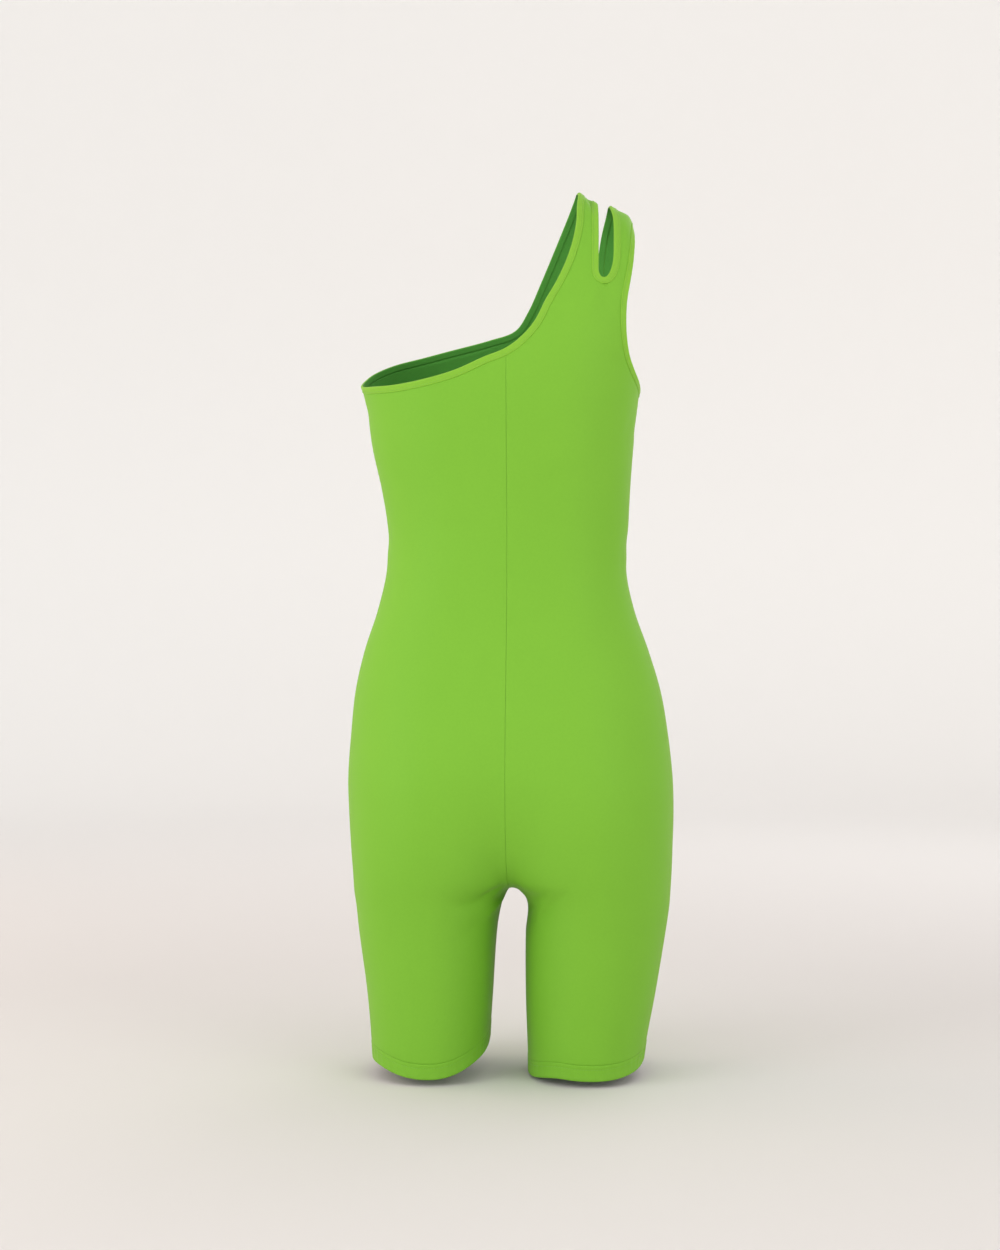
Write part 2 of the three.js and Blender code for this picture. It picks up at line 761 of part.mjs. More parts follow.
const slotCount = strapRows + 1;
const slotParts = {
  back: {
    inner: slotSeam.slice(0, slotCount).reverse(),
    outer: slotSeam.slice(slotCount, 2 * slotCount),
  },
  front: {
    outer: slotSeam.slice(2 * slotCount - 1, 3 * slotCount - 1).reverse(),
    inner: [...slotSeam.slice(3 * slotCount - 1), slotSeam[0]],
  },
};

const unitard = new THREE.Group();
['back', 'front'].forEach((face) => {
  const neck = loopSide(neckSeam, face, neckCount);
  const arm = loopSide(armSeam, face, armCount);
  unitard.add(leftPanel(face, neck));
  unitard.add(rightPanel(face, neck, arm, slotParts[face].inner, slotParts[face].outer));
});
unitard.add(bandPiece('binding_neck', neckLoop, -1));
unitard.add(bandPiece('binding_armhole', armLoop, 1));
unitard.add(bandPiece('binding_slot', slotLoop, -1));
unitard.add(hemPiece('left'));
unitard.add(hemPiece('right'));

export default unitard;
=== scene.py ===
"""One-shoulder unitard in smooth lime stretch knit, filled out as if worn, with nobody in it.

Every cloth piece is worked out from one figure: a smooth body form given by a short table of
levels. The tables are in millimetres on the figure, with x towards the wearer's left, y towards
the back and z up from the leg hems. The finished meshes are in metres from the held point on
top of the right shoulder, which is the frame's own origin.
"""

from __future__ import annotations

import logging
import math
from dataclasses import dataclass, field, fields
from enum import Enum
from functools import cached_property
from typing import Any, Callable, Sequence

import bpy
import numpy as np
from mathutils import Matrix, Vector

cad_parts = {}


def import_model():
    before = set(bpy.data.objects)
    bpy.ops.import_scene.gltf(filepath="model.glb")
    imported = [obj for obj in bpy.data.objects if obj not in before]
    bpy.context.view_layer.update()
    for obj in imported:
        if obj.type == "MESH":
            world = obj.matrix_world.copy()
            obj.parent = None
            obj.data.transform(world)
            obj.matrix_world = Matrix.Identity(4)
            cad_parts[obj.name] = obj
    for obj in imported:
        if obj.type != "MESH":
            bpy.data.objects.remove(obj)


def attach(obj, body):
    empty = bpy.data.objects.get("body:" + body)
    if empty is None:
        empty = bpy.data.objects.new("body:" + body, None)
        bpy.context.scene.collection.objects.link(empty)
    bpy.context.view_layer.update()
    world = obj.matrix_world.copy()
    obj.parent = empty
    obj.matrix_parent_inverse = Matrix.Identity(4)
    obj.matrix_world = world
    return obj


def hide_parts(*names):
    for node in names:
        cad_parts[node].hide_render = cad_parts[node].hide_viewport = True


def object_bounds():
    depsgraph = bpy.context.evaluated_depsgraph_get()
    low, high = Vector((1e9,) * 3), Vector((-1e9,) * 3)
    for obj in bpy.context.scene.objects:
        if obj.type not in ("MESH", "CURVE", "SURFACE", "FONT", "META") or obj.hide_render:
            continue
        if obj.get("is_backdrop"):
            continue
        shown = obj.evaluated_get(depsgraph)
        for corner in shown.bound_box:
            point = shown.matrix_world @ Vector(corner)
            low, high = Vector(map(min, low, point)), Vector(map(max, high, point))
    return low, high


Array = np.ndarray
MM = 0.001
# The shortest length that is divided by, and how often a span is halved in a search.
TINY = 1e-12
HALVINGS = 40
LOG = logging.getLogger("unitard")


# ------------------------------------------------------------------ names


class Side(Enum):
    """A half of the figure, seen by the wearer."""

    LEFT = "left"
    RIGHT = "right"

    @property
    def sign(self) -> int:
        """Which way x grows towards this side."""
        return 1 if self is Side.LEFT else -1


class Face(Enum):
    """The back or the front of the figure."""

    BACK = "back"
    FRONT = "front"

    @property
    def sign(self) -> int:
        """Which way y grows towards this face."""
        return 1 if self is Face.BACK else -1


# ------------------------------------------------------------------ form


def unit(vectors: Array) -> Array:
    """Vectors scaled to length one, along the last axis."""
    return vectors / np.maximum(np.linalg.norm(vectors, axis=-1, keepdims=True), TINY)


def mix(low: Any, high: Any, share: Any) -> Any:
    """The value a share of the way from low to high."""
    return low + (high - low) * share


def ease(value: Any, low: float, high: float) -> Any:
    """A smooth step, 3t squared less 2t cubed, from 0 at low to 1 at high."""
    t = np.clip((value - low) / (high - low), 0.0, 1.0)
    return t * t * (3.0 - 2.0 * t)


@dataclass(frozen=True)
class Level:
    """The figure at one height: its reach on each side of the middle plane, where the middle
    of each half stands, where its inner side stands (negative: past the middle plane), its
    depth to the front and the back, and how widely the two halves melt into each other."""

    height: float
    left: float
    right: float
    centre: float
    left_inner: float
    right_inner: float
    front: float
    back: float
    blend: float


LEVELS = tuple(Level(*row) for row in (
    (-40, 136, 130, 77, 24, 18, 80, 80, 12),
    (0, 138, 133, 78, 22, 17, 82, 84, 12),
    (60, 143, 144, 79, 18, 15, 86, 89, 12),
    (120, 151, 154, 80, 14, 15, 90, 96, 12),
    (148, 154, 158, 80, 9, 17, 92, 101, 12),
    (162, 156, 159, 79.5, 3, 10, 93, 104, 13),
    (178, 157, 160, 78, -16, -14, 94, 108, 22),
    (205, 159, 161, 74, -32, -32, 95, 113, 34),
    (240, 161, 162, 68, -42, -42, 96, 117, 44),
    (275, 162, 161, 63, -46, -46, 96, 117, 50),
    (320, 159, 156, 57, -48, -48, 94, 110, 50),
    (360, 155, 149, 53, -48, -48, 91, 99, 46),
    (400, 146, 137, 48, -47, -47, 88, 88, 42),
    (440, 133, 123, 43, -45, -45, 84, 80, 38),
    (480, 124, 115, 39, -44, -44, 81, 76, 36),
    (520, 123, 117, 39, -44, -44, 82, 76, 36),
    (560, 129, 119, 41, -45, -45, 88, 80, 38),
    (600, 138, 122, 44, -46, -46, 98, 86, 40),
    (640, 144, 126, 47, -46, -46, 107, 91, 44),
    (680, 154, 133, 50, -46, -46, 106, 95, 46),
    (720, 162, 150, 54, -46, -46, 98, 96, 46),
    (770, 176, 178, 62, -46, -46, 86, 92, 46),
    (820, 192, 198, 70, -46, -46, 76, 86, 46),
    (880, 200, 206, 74, -46, -46, 70, 80, 46),
))


@dataclass(frozen=True)
class Shoulder:
    """The top of the shoulders this far from the middle plane."""

    across: float
    height: float


SHOULDERS = tuple(Shoulder(*row) for row in (
    (0, 884), (62, 858), (80, 848.8), (90, 845), (100, 844.3), (110, 842.6),
    (117, 840.6), (123, 832), (130, 826), (160, 815), (210, 797),
))


def smooth_column(table: Sequence[Any], place: str, name: str, at: Array) -> Array:
    """One column of a table as a smooth curve of another column.

    Between two rows the curve is the cubic that meets both with the slopes of the chords of
    their neighbours.

    Args:
        table: The rows, with their places in rising order.
        place: The column of places.
        name: The column of values.
        at: Where the curve is wanted.

    Returns:
        The values.
    """
    knots = np.array([getattr(row, place) for row in table], float)
    values = np.array([getattr(row, name) for row in table], float)
    last = len(knots) - 1
    before = np.maximum(np.arange(last + 1) - 1, 0)
    after = np.minimum(np.arange(last + 1) + 1, last)
    slopes = (values[after] - values[before]) / (knots[after] - knots[before])
    low = np.clip(np.searchsorted(knots, at, side="right") - 1, 0, last - 1)
    span = knots[low + 1] - knots[low]
    t = np.clip((at - knots[low]) / span, 0.0, 1.0)
    u = 1.0 - t
    rise = values[low] * (1 + 2 * t) * u * u + slopes[low] * span * t * u * u
    return rise + values[low + 1] * (1 + 2 * u) * t * t - slopes[low + 1] * span * u * t * t


@dataclass(frozen=True)
class Figure:
    """The filled-out body form that all the cloth follows.

    Each half is a rounded tube, (across / width)^p + (depth)^p + climb^2 = 1, where climb grows
    from 0 at the yoke to 1 at the shoulder line. The two halves melt together round the
    middle plane.
    """

    roundness: float = 2.2
    yoke_height: float = 640.0
    fan_height: float = 300.0
    table_step: float = 0.25
    least_steepness: float = 1e-4
    least_slope_squared: float = 0.05
    longest_move: float = 12.0
    middle_reach: tuple[float, float] = (40.0, 170.0)
    outside_reach: tuple[float, float] = (20.0, 260.0)

    @cached_property
    def tables(self) -> dict[str, Array]:
        """Each column of the level table, tabled at small equal steps.

        Returns:
            The heights under "height", and each other column under its own name.
        """
        heights = np.arange(LEVELS[0].height, LEVELS[-1].height + self.table_step, self.table_step)
        names = [entry.name for entry in fields(Level)][1:]
        columns = {name: smooth_column(LEVELS, "height", name, heights) for name in names}
        return {"height": heights, **columns}

    def column(self, name: str, height: Array) -> Array:
        """One column of the level table at any heights."""
        return np.interp(height, self.tables["height"], self.tables[name])

    def shoulder_line(self, across: Array) -> Array:
        """Height of the shoulder above points this far from the middle plane."""
        return smooth_column(SHOULDERS, "across", "height", across)

    def climb(self, across: Array, height: Array) -> tuple[Array, Array]:
        """How far points have closed in towards the shoulder line, and the height they have to
        do it in."""
        reach = self.shoulder_line(np.abs(across)) - self.yoke_height
        return np.maximum(0.0, (height - self.yoke_height) / reach), reach

    def half_section(
        self, side: Side, height: Array, outside: Array, to_back: Array
    ) -> tuple[Array, Array, Array]:
        """Centre, half width and depth of one half of the figure.

        Args:
            side: The half.
            height: Heights of the section.
            outside: Where the outer side is meant, and not the inner.
            to_back: Where the back is meant, and not the front.

        Returns:
            Three arrays, in millimetres.
        """
        centre = self.column("centre", height)
        outer = self.column(side.value, height) - centre
        inner = centre - self.column(f"{side.value}_inner", height)
        depth = np.where(to_back, self.column("back", height), self.column("front", height))
        return centre, np.where(outside, outer, inner), depth

    def half_field(self, side: Side, across: Array, y: Array, height: Array) -> Array:
        """A distance-like value for one half: its level function over its own steepness.

        Args:
            side: The half.
            across: Distance from the middle plane towards that side.
            y: Distance to the back.
            height: Height above the hems.

        Returns:
            Values below zero inside and above zero outside.
        """
        outside = across > self.column("centre", height)
        centre, width, depth = self.half_section(side, height, outside, y > 0)
        climb, reach = self.climb(across, height)
        u = np.abs(across - centre) / width
        v = np.abs(y) / depth
        p = self.roundness
        value = u**p + v**p + climb**2 - 1.0
        steep = np.sqrt(
            (p * u ** (p - 1) / width) ** 2 + (p * v ** (p - 1) / depth) ** 2 + (2 * climb / reach) ** 2
        )
        return value / np.maximum(steep, self.least_steepness)

    def field(self, points: Array) -> Array:
        """The whole figure: the smaller of the two halves' values, rounded where they are alike.

        Args:
            points: Places on the figure's axes, on the last axis.

        Returns:
            One value a point: zero on the figure.
        """
        x, y, z = np.moveaxis(points, -1, 0)
        left = self.half_field(Side.LEFT, x, y, z)
        right = self.half_field(Side.RIGHT, -x, y, z)
        blend = self.column("blend", z)
        overlap = np.maximum(blend - np.abs(left - right), 0.0) / blend
        return np.minimum(left, right) - overlap * overlap * blend / 4.0

    def slope(self, points: Array, step: float = 0.4) -> Array:
        """The field's slope at points, from its values a small step to each side."""
        parts = []
        for axis in np.eye(3) * step:
            parts.append((self.field(points + axis) - self.field(points - axis)) / (2 * step))
        return np.stack(parts, axis=-1)

    def settle(
        self, guess: Array, free: tuple[int, int, int] = (1, 1, 1), passes: int = 14
    ) -> Array:
        """Moves points straight onto the figure by repeated steps of value over slope.

        Args:
            guess: Points near the figure.
            free: The axes along which they may move.
            passes: How many steps are made.

        Returns:
            The points on the figure.
        """
        points = np.array(guess, float)
        for _ in range(passes):
            slope = self.slope(points) * np.array(free)
            steep = np.maximum((slope**2).sum(-1), self.least_slope_squared)
            move = slope * (-self.field(points) / steep)[..., None]
            length = np.maximum(np.linalg.norm(move, axis=-1, keepdims=True), TINY)
            points = points + move * np.minimum(1.0, self.longest_move / length)
        return points

    def outward(self, points: Array) -> Array:
        """Directions straight out of the figure."""
        return unit(self.slope(points))

    def round_point(self, side: Side, turn: Array, height: Array) -> Array:
        """Points on a half of the figure at angles round it and heights.

        Args:
            side: The half.
            turn: Angles from its outer side, positive to the back.
            height: Heights above the hems.

        Returns:
            Points on the figure.
        """
        turn, height = np.broadcast_arrays(np.asarray(turn, float), np.asarray(height, float))
        c, s = np.cos(turn), np.sin(turn)
        centre, width, depth = self.half_section(side, height, c > 0, s > 0)
        p = self.roundness
        fit = (np.abs(c) ** p + np.abs(s) ** p) ** (-1.0 / p)
        x = side.sign * (centre + width * fit * c)
        return self.settle(np.stack([x, depth * fit * s, height], axis=-1))

    def turn_of(self, side: Side, points: Array, face: Face) -> Array:
        """The angles round a half at which points stand, running on past the inner side."""
        across = side.sign * points[..., 0]
        height = points[..., 2]
        outside = across > self.column("centre", height)
        centre, width, depth = self.half_section(side, height, outside, points[..., 1] > 0)
        turn = np.arctan2(points[..., 1] / depth, (across - centre) / width)
        wrapped = face.sign * turn < -math.pi / 2
        return np.where(wrapped, turn + face.sign * 2 * math.pi, turn)

    def crest_height(self, across: float) -> float:
        """How high the figure closes above a point on the right shoulder."""
        height = np.asarray(self.shoulder_line(np.asarray(across, float)), float)
        for _ in range(4):
            outside = across > self.column("centre", height)
            centre, width, _ = self.half_section(Side.RIGHT, height, outside, True)
            rest = 1.0 - (np.abs(across - centre) / width) ** self.roundness
            top = self.shoulder_line(np.asarray(across, float))
            height = self.yoke_height + (top - self.yoke_height) * np.sqrt(np.maximum(rest, 0.0))
        return float(height)

    def crest_point(self, across: float) -> Array:
        """The highest point of the right shoulder this far across."""
        guess = np.array([-across, 0.0, self.crest_height(across)])
        return self.settle(guess, free=(0, 0, 1))

    def face_point(self, face: Face, across: Array, height: Array) -> Array:
        """Points on the right half's front or back.

        Args:
            face: Front or back.
            across: Distances to the wearer's right of the middle plane.
            height: Heights above the hems.

        Returns:
            Points on the figure.
        """
        across, height = np.broadcast_arrays(np.asarray(across, float), np.asarray(height, float))
        outside = across > self.column("centre", height)
        to_back = np.full(across.shape, face is Face.BACK)
        centre, width, depth = self.half_section(Side.RIGHT, height, outside, to_back)
        climb, _ = self.climb(across, height)
        rest = 1.0 - (np.abs(across - centre) / width) ** self.roundness - climb**2
        y = face.sign * depth * np.maximum(rest, 1e-6) ** (1.0 / self.roundness)
        return self.settle(np.stack([-across, y, height], axis=-1))

    def middle_point(self, face: Face, angle: Array) -> Array:
        """Points in the middle plane at angles round the fan's centre, found by halving."""
        angle = np.asarray(angle, float)
        ray = np.stack([np.zeros_like(angle), face.sign * np.cos(angle), np.sin(angle)], axis=-1)
        centre = np.array([0.0, 0.0, self.fan_height])
        near, far = (np.full(angle.shape, reach) for reach in self.middle_reach)
        for _ in range(HALVINGS):
            middle = (near + far) / 2
            within = self.field(centre + ray * middle[..., None]) < 0
            near, far = np.where(within, middle, near), np.where(within, far, middle)
        return centre + ray * near[..., None]

    def middle_at_height(self, face: Face, height: Array) -> Array:
        """Points in the middle plane at heights, on the front or the back."""
        height = np.asarray(height, float)
        depth = face.sign * self.column(face.value, height)
        guess = np.stack([np.zeros_like(height), depth, height], axis=-1)
        return self.settle(guess, free=(0, 1, 0))

    def from_outside(self, ray: Array, across: float, height: float) -> Array:
        """Where the figure is met from outside.

        Args:
            ray: Unit direction outwards, level, along x or y.
            across: How far along the other level axis.
            height: Height above the hems.

        Returns:
            One point on the figure.
        """
        other = np.array([abs(ray[1]), abs(ray[0]), 0.0])
        start = other * across + np.array([0.0, 0.0, height])
        near, far = self.outside_reach
        if ray[1]:
            near = 0.0
        for _ in range(HALVINGS):
            middle = (near + far) / 2
            within = self.field(start + ray * middle) < 0
            near, far = (middle, far) if within else (near, middle)
        return start + ray * near


# ------------------------------------------------------------------ curves


def lengths(points: Array) -> Array:
    """Distance walked along a run of points, from 0 at its first."""
    steps = np.linalg.norm(np.diff(points, axis=0), axis=-1)
    return np.concatenate([[0.0], np.cumsum(steps)])


# Points put on each stretch of a curve before it is walked in equal steps.
DENSE = 24


def sample(rows: Array, places: Array, wanted: Array) -> Array:
    """The rows of a run at wanted places, straight between neighbours."""
    return np.stack([np.interp(wanted, places, part) for part in rows.T], axis=-1)


def even_steps(points: Array, steps: int) -> Array:
    """A smooth curve through points, resampled in equal steps.

    The curve is a centripetal Catmull-Rom: on each stretch a cubic whose end slopes come from
    the square roots of the distances to the neighbouring points.

    Args:
        points: The points to pass through, one a row.
        steps: How many equal steps the result has.

    Returns:
        steps + 1 points.
    """
    ends = [2 * points[0] - points[1]], [2 * points[-1] - points[-2]]
    knots = np.concatenate([ends[0], points, ends[1]])
    gaps = np.sqrt(np.linalg.norm(np.diff(knots, axis=0), axis=1))[:, None]
    before, at, after, beyond = knots[:-3], knots[1:-2], knots[2:-1], knots[3:]
    g0, g1, g2 = gaps[:-2], gaps[1:-1], gaps[2:]
    leave = ((at - before) / g0 - (after - before) / (g0 + g1) + (after - at) / g1) * g1
    arrive = ((after - at) / g1 - (beyond - at) / (g1 + g2) + (beyond - after) / g2) * g1
    t = np.arange(DENSE)[None, :, None] / DENSE
    at, after, leave, arrive = (part[:, None, :] for part in (at, after, leave, arrive))
    cubic = 2 * at - 2 * after + leave + arrive
    square = 3 * after - 3 * at - 2 * leave - arrive
    dense = (cubic * t**3 + square * t**2 + leave * t + at).reshape(-1, 3)
    dense = np.concatenate([dense, points[-1:]])
    walked = lengths(dense)
    return sample(dense, walked, np.linspace(0.0, walked[-1], steps + 1))


def closed_even_steps(loop: Array, spacing: float) -> Array:
    """A closed loop resampled in equal steps of about the given length.

    Args:
        loop: Points of the loop, its first not repeated.
        spacing: The wanted step.

    Returns:
        Points of the loop, its first not repeated.
    """
    ring = np.concatenate([loop, loop[:1]])
    walked = lengths(ring)
    count = int(round(walked[-1] / spacing))
    return sample(ring, walked, np.arange(count) * walked[-1] / count)


# ------------------------------------------------------------------ cut


@dataclass(frozen=True)
class Steps:
    """How finely the cloth panels are divided."""

    columns: int = 72
    leg_rows: int = 52
    seat_rows: int = 36
    torso_rows: int = 110
    yoke_rows: int = 40
    strap_rows: int = 46
    slot_column: int = 44
    foot_points: int = 9
    neck_points: int = 480
    arm_points: int = 400
    edge_spots: tuple[float, ...] = (0.02, 0.07, 0.16, 0.32, 0.6)


@dataclass(frozen=True)
class EdgeTable:
    """A finished edge on one face.

    round holds (angle from the outer side in degrees, height) and rise holds (distance to the
    wearer's right of the middle plane, height), in the order of the edge.
    """

    round: tuple[tuple[float, float], ...]
    rise: tuple[tuple[float, float], ...]
    middle_height: float = 0.0


@dataclass(frozen=True)
class HemLine:
    """How a leg's edge stands off the level: its base, its drop and twist to the back, its rise
    to the inner side, and the dips that start a given distance behind and inside."""

    base: float
    back_drop: float
    twist: float
    inner_rise: float
    back_dip: float
    inner_dip: float
    back_dip_from: float = 45.0
    inner_dip_from: float = 22.0


@dataclass(frozen=True)
class SlotSide:
    """One long side of the slot: the reach and rise of its quarter-ellipse foot, and how late
    it leans over to its place on the shoulder's crest."""

    reach: float
    rise: float
    lean: float


@dataclass(frozen=True)
class SlotFace:
    """The slot on one face: its lowest point, and its sides towards the neck and the arm."""

    across: float
    height: float
    inner: SlotSide
    outer: SlotSide


@dataclass(frozen=True)
class Cut:
    """Where the garment's edges and seams run on the figure."""

    figure: Figure
    steps: Steps = Steps()
    band_width: float = 7.0
    tuck: float = 1.2
    hem_depth: float = 16.0
    hem_tuck: float = 1.2
    hem_lines: dict[Side, HemLine] = field(
        default_factory=lambda: {
            Side.LEFT: HemLine(4.3, 0.146, 0.0015, 0.12, 0.0045, 0.0),
            Side.RIGHT: HemLine(-2.0, 0.146, 0.0, 0.02, 0.0, 0.0105),
        }
    )
    seam_turn_low: float = 18.0
    seam_bend: tuple[float, float] = (500.0, 650.0)
    corner_gather: float = 1.8
    crotch_side_rise: float = 6.0
    foot_angles: tuple[float, float] = (8.0, 78.0)
    slot_shares: tuple[float, ...] = (0.08, 0.3, 0.55, 0.78, 0.93)
    slot_ease: float = 0.45
    crest_across: dict[str, float] = field(
        default_factory=lambda: {"neck": 66.0, "arm": 122.0, "slot_inner": 87.2, "slot_outer": 97.0}
    )
    slot: dict[Face, SlotFace] = field(
        default_factory=lambda: {
            Face.BACK: SlotFace(93.3, 760.5, SlotSide(4.9, 8, 6), SlotSide(9.6, 27, 8)),
            Face.FRONT: SlotFace(78.5, 762.6, SlotSide(6.9, 7, 3.0), SlotSide(6.9, 7, 3.5)),
        }
    )

    @property
    def neck(self) -> dict[Face, EdgeTable]:
        """The neck edge: round the left half under the arm, then up to the right shoulder."""
        return {
            Face.BACK: EdgeTable(
                round=(
                    (0, 666), (18, 660.5), (36, 658), (54, 657.5),
                    (72, 661.5), (90, 669.8), (107, 681.6),
                ),
                middle_height=690.5,
                rise=(
                    (15, 701), (27, 715.5), (37.5, 737), (48, 756.5),
                    (57, 777.5), (63, 798), (66.3, 818), (66.8, 837),
                ),
            ),
            Face.FRONT: EdgeTable(
                round=(
                    (0, 666), (-13, 672.5), (-27, 682), (-45, 694),
                    (-64, 704), (-84, 714), (-106, 722.5),
                ),
                middle_height=731,
                rise=((14, 747), (28, 777), (38.5, 800), (49.5, 824), (58.5, 843)),
            ),
        }

    @property
    def arm(self) -> dict[Face, EdgeTable]:
        """The armhole's edge: from the side under the right arm up to the shoulder."""
        return {
            Face.BACK: EdgeTable(
                round=((0, 658.5), (11, 663)),
                rise=(
                    (123.2, 673), (118.2, 686), (115.6, 702), (114.9, 718), (115.8, 738),
                    (118.6, 756), (121.7, 777.5), (123, 795), (123, 812),
                ),
            ),
            Face.FRONT: EdgeTable(
                round=((0, 658.5), (-13, 662), (-25, 671)),
                rise=(
                    (117.5, 685), (113, 704), (110.5, 726), (110.5, 750),
                    (114, 776), (118.5, 798), (121.5, 813),
                ),
            ),
        }

    def seam_turn(self, height: Array) -> Array:
        """Where the side seam runs round each half: behind the side on the leg, on it above."""
        low = math.radians(self.seam_turn_low)
        return low * (1.0 - ease(height, *self.seam_bend))

    def side_point(self, side: Side, height: Array) -> Array:
        """Points on the side seam."""
        return self.figure.round_point(side, self.seam_turn(np.asarray(height, float)), height)

    def _spots(self, side: Side, rows: Sequence[tuple[float, float]]) -> Array:
        """Edge points given by an angle and a height."""
        table = np.array(rows, float)
        return self.figure.round_point(side, np.radians(table[:, 0]), table[:, 1])

    def _rise(self, face: Face, rows: Sequence[tuple[float, float]]) -> Array:
        """Edge points given by a distance across and a height."""
        table = np.array(rows, float)
        return self.figure.face_point(face, table[:, 0], table[:, 1])

    def _split(self, points: Array, height: float) -> tuple[Array, Array]:
        """A run of points as two, parted at the first one above a height."""
        at = int(np.argmax(points[:, 2] > height))
        return points[: at + 1], points[at:]

    @property
    def yoke_top(self) -> float:
        """Height at which the cloth parts into two straps."""
        return self.slot[Face.BACK].height - self.band_width

    def neck_run(self, face: Face) -> Array:
        """The finished neck edge of one face, from the left side to the shoulder's crest."""
        table = self.neck[face]
        middle = self.figure.middle_at_height(face, table.middle_height)[None]
        crest = self.figure.crest_point(self.crest_across["neck"])[None]
        rise = self._rise(face, table.rise)
        whole = np.concatenate([self._spots(Side.LEFT, table.round), middle, rise, crest])
        smooth = even_steps(whole, self.steps.neck_points)
        at = int(np.argmax(smooth[:, 0] <= 0))
        low, high = self._split(smooth[at:], self.yoke_top)
        n = self.steps
        return np.concatenate([
            even_steps(smooth[: at + 1], n.columns),
            even_steps(low, n.yoke_rows)[1:],
            even_steps(high, n.strap_rows)[1:],
        ])

    def arm_run(self, face: Face) -> Array:
        """The armhole's finished edge of one face, from the side up to the shoulder's crest."""
        table = self.arm[face]
        crest = self.figure.crest_point(self.crest_across["arm"])[None]
        spots = self._spots(Side.RIGHT, table.round)
        whole = np.concatenate([spots, self._rise(face, table.rise), crest])
        smooth = even_steps(whole, self.steps.arm_points)
        low, high = self._split(smooth, self.yoke_top)
        return np.concatenate([
            even_steps(low, self.steps.yoke_rows),
            even_steps(high, self.steps.strap_rows)[1:],
        ])

    def slot_run(self, face: Face, name: str) -> Array:
        """One long side of the slot on one face, from its round foot up to the crest.

        Args:
            face: Front or back.
            name: "outer" for the side nearer the arm, "inner" for the side nearer the neck.

        Returns:
            Points up the side.
        """
        shape = self.slot[face]
        side: SlotSide = getattr(shape, name)
        way = 1 if name == "outer" else -1
        angle = np.radians(np.linspace(*self.foot_angles, self.steps.foot_points))
        foot = self.figure.face_point(
            face,
            shape.across + way * side.reach * np.sin(angle),
            shape.height + side.rise * (1 - np.cos(angle)),
        )
        crest_across = self.crest_across[f"slot_{name}"]
        crest = self.figure.crest_height(crest_across)
        share = np.array(self.slot_shares)
        climb = share * share * self.slot_ease + share * (1 - self.slot_ease)
        across = mix(shape.across + way * side.reach, crest_across, share**side.lean)
        straight = self.figure.face_point(face, across, mix(shape.height + side.rise, crest, climb))
        top = self.figure.crest_point(crest_across)[None]
        rest = even_steps(
            np.concatenate([foot[-1:], straight, top]), self.steps.strap_rows - len(foot) + 1
        )
        return np.concatenate([foot, rest[1:]])

    def shifted(self, loop: Array, distance: float) -> Array:
        """A closed edge moved across the cloth, square to itself.

        Args:
            loop: Points of the edge.
            distance: How far, towards the cross product of outward and onward.

        Returns:
            The moved points, on the figure.
        """
        onward = unit(np.roll(loop, -1, axis=0) - np.roll(loop, 1, axis=0))
        sideways = unit(np.cross(self.figure.outward(loop), onward))
        return self.figure.settle(loop + sideways * distance)

    @property
    def held_across(self) -> float:
        """How far to the right the garment is held, midway between the straps."""
        return (self.crest_across["slot_inner"] + self.crest_across["slot_outer"]) / 2

    def loops(self) -> dict[str, Array]:
        """The three finished edges as closed loops, under neck, arm and slot."""
        back, front = Face.BACK, Face.FRONT
        neck = np.concatenate([self.neck_run(back), self.neck_run(front)[1:-1][::-1]])
        arm = np.concatenate([self.arm_run(back), self.arm_run(front)[1:-1][::-1]])
        slot = np.concatenate([
            self.slot_run(back, "inner")[::-1],
            self.slot_run(back, "outer"),
            self.slot_run(front, "outer")[:-1][::-1],
            self.slot_run(front, "inner")[:-1],
        ])
        return {"neck": neck, "arm": arm, "slot": slot}

    def hem_height(self, side: Side, points: Array) -> Array:
        """Height of a leg's finished edge above the level at points round the leg."""
        line = self.hem_lines[side]
        inward = self.figure.column("centre", np.zeros(1))[0] - np.abs(points[..., 0])
        back = points[..., 1]
        behind = np.maximum(back - line.back_dip_from, 0.0)
        within = np.maximum(inward - line.inner_dip_from, 0.0)
        tilt = line.inner_rise * inward - line.back_drop * back
        tilt = tilt - line.twist * inward * np.maximum(back, 0.0)
        return line.base + tilt - line.back_dip * behind**2 - line.inner_dip * within**2

    def hem_row(self, side: Side, turns: Array, above: float) -> Array:
        """Points round a leg a given distance above its hem's edge.

        Args:
            side: The leg.
            turns: Angles round it.
            above: Distance above the edge.

        Returns:
            Points on the figure.
        """
        points = self.figure.round_point(side, turns, np.zeros_like(turns))
        for _ in range(3):
            points = self.figure.round_point(side, turns, self.hem_height(side, points) + above)
        return points


# ------------------------------------------------------------------ relief


@dataclass(frozen=True)
class Fold:
    """One soft trough or ridge pressed into the cloth.

    It runs between two places on the figure, each (across or depth, height), on the face or
    side named by looks. Depth is negative for a trough. Bow pushes its middle sideways.
    """

    looks: str
    start: tuple[float, float]
    end: tuple[float, float]
    width: float
    depth: float
    bow: float = 0.0
    lean: float = 0.5


